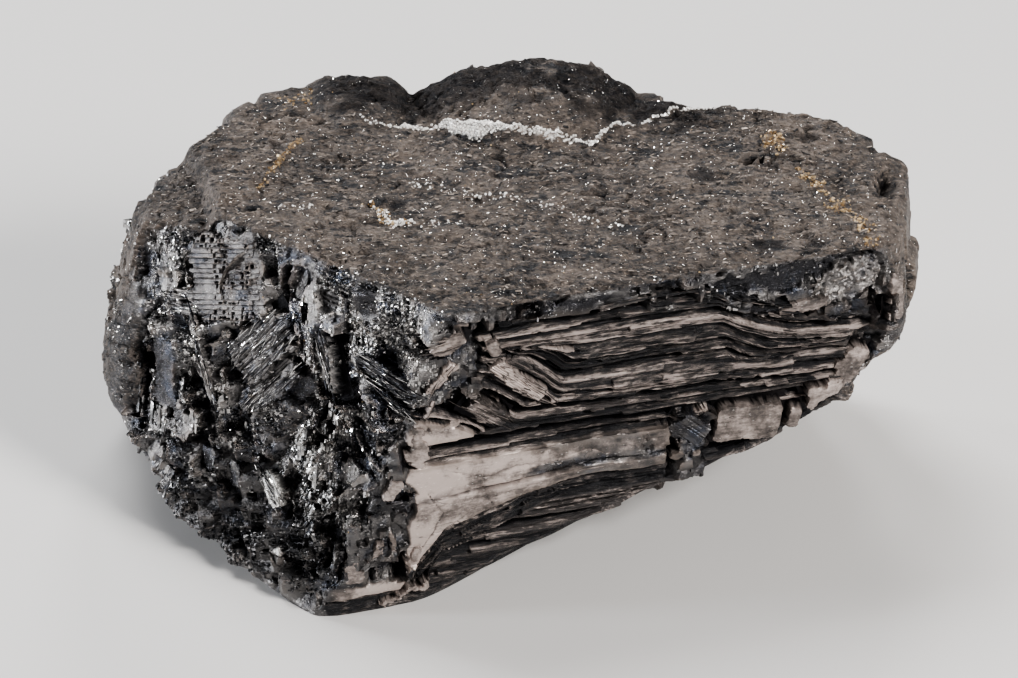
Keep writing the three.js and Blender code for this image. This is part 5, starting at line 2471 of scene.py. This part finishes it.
@dataclass(frozen=True)
class Studio:
    """A pale floor, soft light and the camera. Lengths here are metres."""

    target: Triple = (0.0032, 0.0, 0.0217)
    distance: float = 0.62
    elevation: float = 33.0
    lens: float = 199.3  # millimetres
    floor_size: float = 6.0
    floor_colour: Triple = (0.66, 0.65, 0.64)
    floor_roughness: float = 0.8
    sky: Triple = (0.9, 0.93, 1.0)
    air: float = 0.07
    clip: Pair = (0.01, 20.0)
    look: str = "AgX - Medium High Contrast"
    lamps: tuple[Lamp, ...] = (
        Lamp("key", -40, 36, 0.6, 0.18, 4.8, (1.0, 0.97, 0.94)),
        Lamp("top", 120, 62, 0.7, 0.3, 3.6),
        Lamp("left", -176, 10, 0.7, 0.1, 3.2, (0.93, 0.96, 1.0)),
        Lamp("left_back", 154, 12, 0.7, 0.08, 1.8, (0.95, 0.97, 1.0)),
        Lamp("back", 84, 36, 0.8, 0.16, 1.6),
    )

    def build(self) -> None:
        """Makes the floor, the air, the lamps and the camera."""
        half = self.floor_size / 2
        mesh = bpy.data.meshes.new("floor")
        corners = [(-half, -half, 0), (half, -half, 0), (half, half, 0), (-half, half, 0)]
        mesh.from_pydata(corners, [], [(0, 1, 2, 3)])
        floor = link("floor", mesh)
        paint = bpy.data.materials.new("floor_paint")
        paint.use_nodes = True
        shader = paint.node_tree.nodes["Principled BSDF"]
        shader.inputs["Base Color"].default_value = (*self.floor_colour, 1.0)
        shader.inputs["Roughness"].default_value = self.floor_roughness
        mesh.materials.append(paint)

        world = bpy.data.worlds.new("air")
        world.use_nodes = True
        sky = world.node_tree.nodes["Background"]
        sky.inputs["Color"].default_value = (*self.sky, 1.0)
        sky.inputs["Strength"].default_value = self.air
        bpy.context.scene.world = world
        bpy.context.scene.view_settings.look = self.look

        target = Vector(self.target)
        for lamp in self.lamps:
            lamp.build(target)
        view = bpy.data.cameras.new("camera")
        view.lens = self.lens
        view.clip_start, view.clip_end = self.clip
        rise = math.radians(self.elevation)
        back = Vector((0.0, -math.cos(rise), math.sin(rise)))
        bpy.context.scene.camera = aim("camera", view, target, back, self.distance)


FINISHES = (
    StoneFinish(),
    SmallFinish("clear_cleavage", (0.02, 0.021, 0.025), (0.8, 0.78, 0.76), 1.0, (0.34, 0.12), 0.55),
    SmallFinish("pale_splinter", (0.05, 0.043, 0.04), (0.46, 0.4, 0.37), 0.45, (0.5, 0.3)),
    SmallFinish("crust_flake", (0.012, 0.012, 0.014), (0.37, 0.315, 0.27), 0.3, (0.6, 0.36), 0.45),
    SmallFinish("bright_grain", (0.86, 0.83, 0.79), (1.0, 0.99, 0.97), 0.15, (0.35, 0.12), 0.5),
    SmallFinish("mirror_glint", (0.5, 0.5, 0.52), (1.0, 0.99, 0.97), 1.0, (0.3, 0.06), 0.7),
    SmallFinish("ochre_grain", (0.16, 0.095, 0.04), (0.54, 0.41, 0.25), 0.2, (0.5, 0.3), 0.4),
)

# what is grown into the stone, with the name of its finish
GROWTHS = (
    (BandLeaves(), "galena_surface"),
    (Shards(), "clear_cleavage"),
    (Shards("cleavage_slivers", 5000, (0.05, 0.15), (0.8, 0.8, 2.4), (1.5, 60), 0.0, 0.2, 0.4, -0.5, 503),
     "clear_cleavage"),
    (Shards("upright_slabs", 240, (0.16, 0.4), (1.1, 0.7, 3.0), (3, 20), 0.0, 0.15, 1.0, -0.1, 505),
     "clear_cleavage"),
    (Shards("cleavage_steps", 220, (0.2, 0.45), (1, 1, 1), (4, 30), 0.1, 0.12, 0.9, -0.5, 511),
     "clear_cleavage"),
    (Shards("glints", 1500, (0.04, 0.14), (1, 1, 1), (1.5, 60), 0.1, 0.25, 0.0, -1.0, 513), "mirror_glint"),
    (Ridges("hackly_ridges", HACKLY_SIDE), "clear_cleavage"),
    (Ridges("band_ridges", BANDED_SIDE, 2.5, seed=573), "pale_splinter"),
    (Flakes(), "crust_flake"),
    (Grains("crust_glints", 800, 60, "silver", (0.03, 0.09), (0.05, 0.1), 0.0), "mirror_glint"),
    # white grains, partly of the white vein and partly painted glints
    (Grains("bright_grains", 260, 1500, "silver", (0.03, 0.08), (0.04, 0.14), 0.5, BEAD_LINES, 4.5, 0.42),
     "bright_grain"),
    (Grains("ochre_grains", 60, 420, "ochre", (0.04, 0.1), (0.05, 0.16), 0.1, OCHRE_LINES, 3.5, 0.5, 551),
     "ochre_grain"),
)


def main() -> None:
    """Builds the studio, the stone and what is grown into it, and reports each piece."""
    logging.basicConfig(level=logging.INFO, format="%(relativeCreated)6d ms %(message)s")
    Studio().build()
    groups = {tree.name: tree for tree in (facets_group(), grain_group(), cavity_group(), cracks_group())}
    finishes = {finish.name: finish.material(groups) for finish in FINISHES}
    surface = finishes["galena_surface"]

    stone = Stone(coarser=1.0)
    pieces = [stone.build(surface)]
    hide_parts(NODE)
    for side in (BANDED_SIDE, HACKLY_SIDE):
        pieces += [Plate(patch, side).build(stone, surface) for patch in side.slabs]
    pieces += [growth.build(stone, finishes[finish]) for growth, finish in GROWTHS]
    for piece in pieces:
        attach(piece, BODY)
        log.info("%s: %d faces", piece.name, len(piece.data.polygons))


if __name__ == "__main__":
    main()
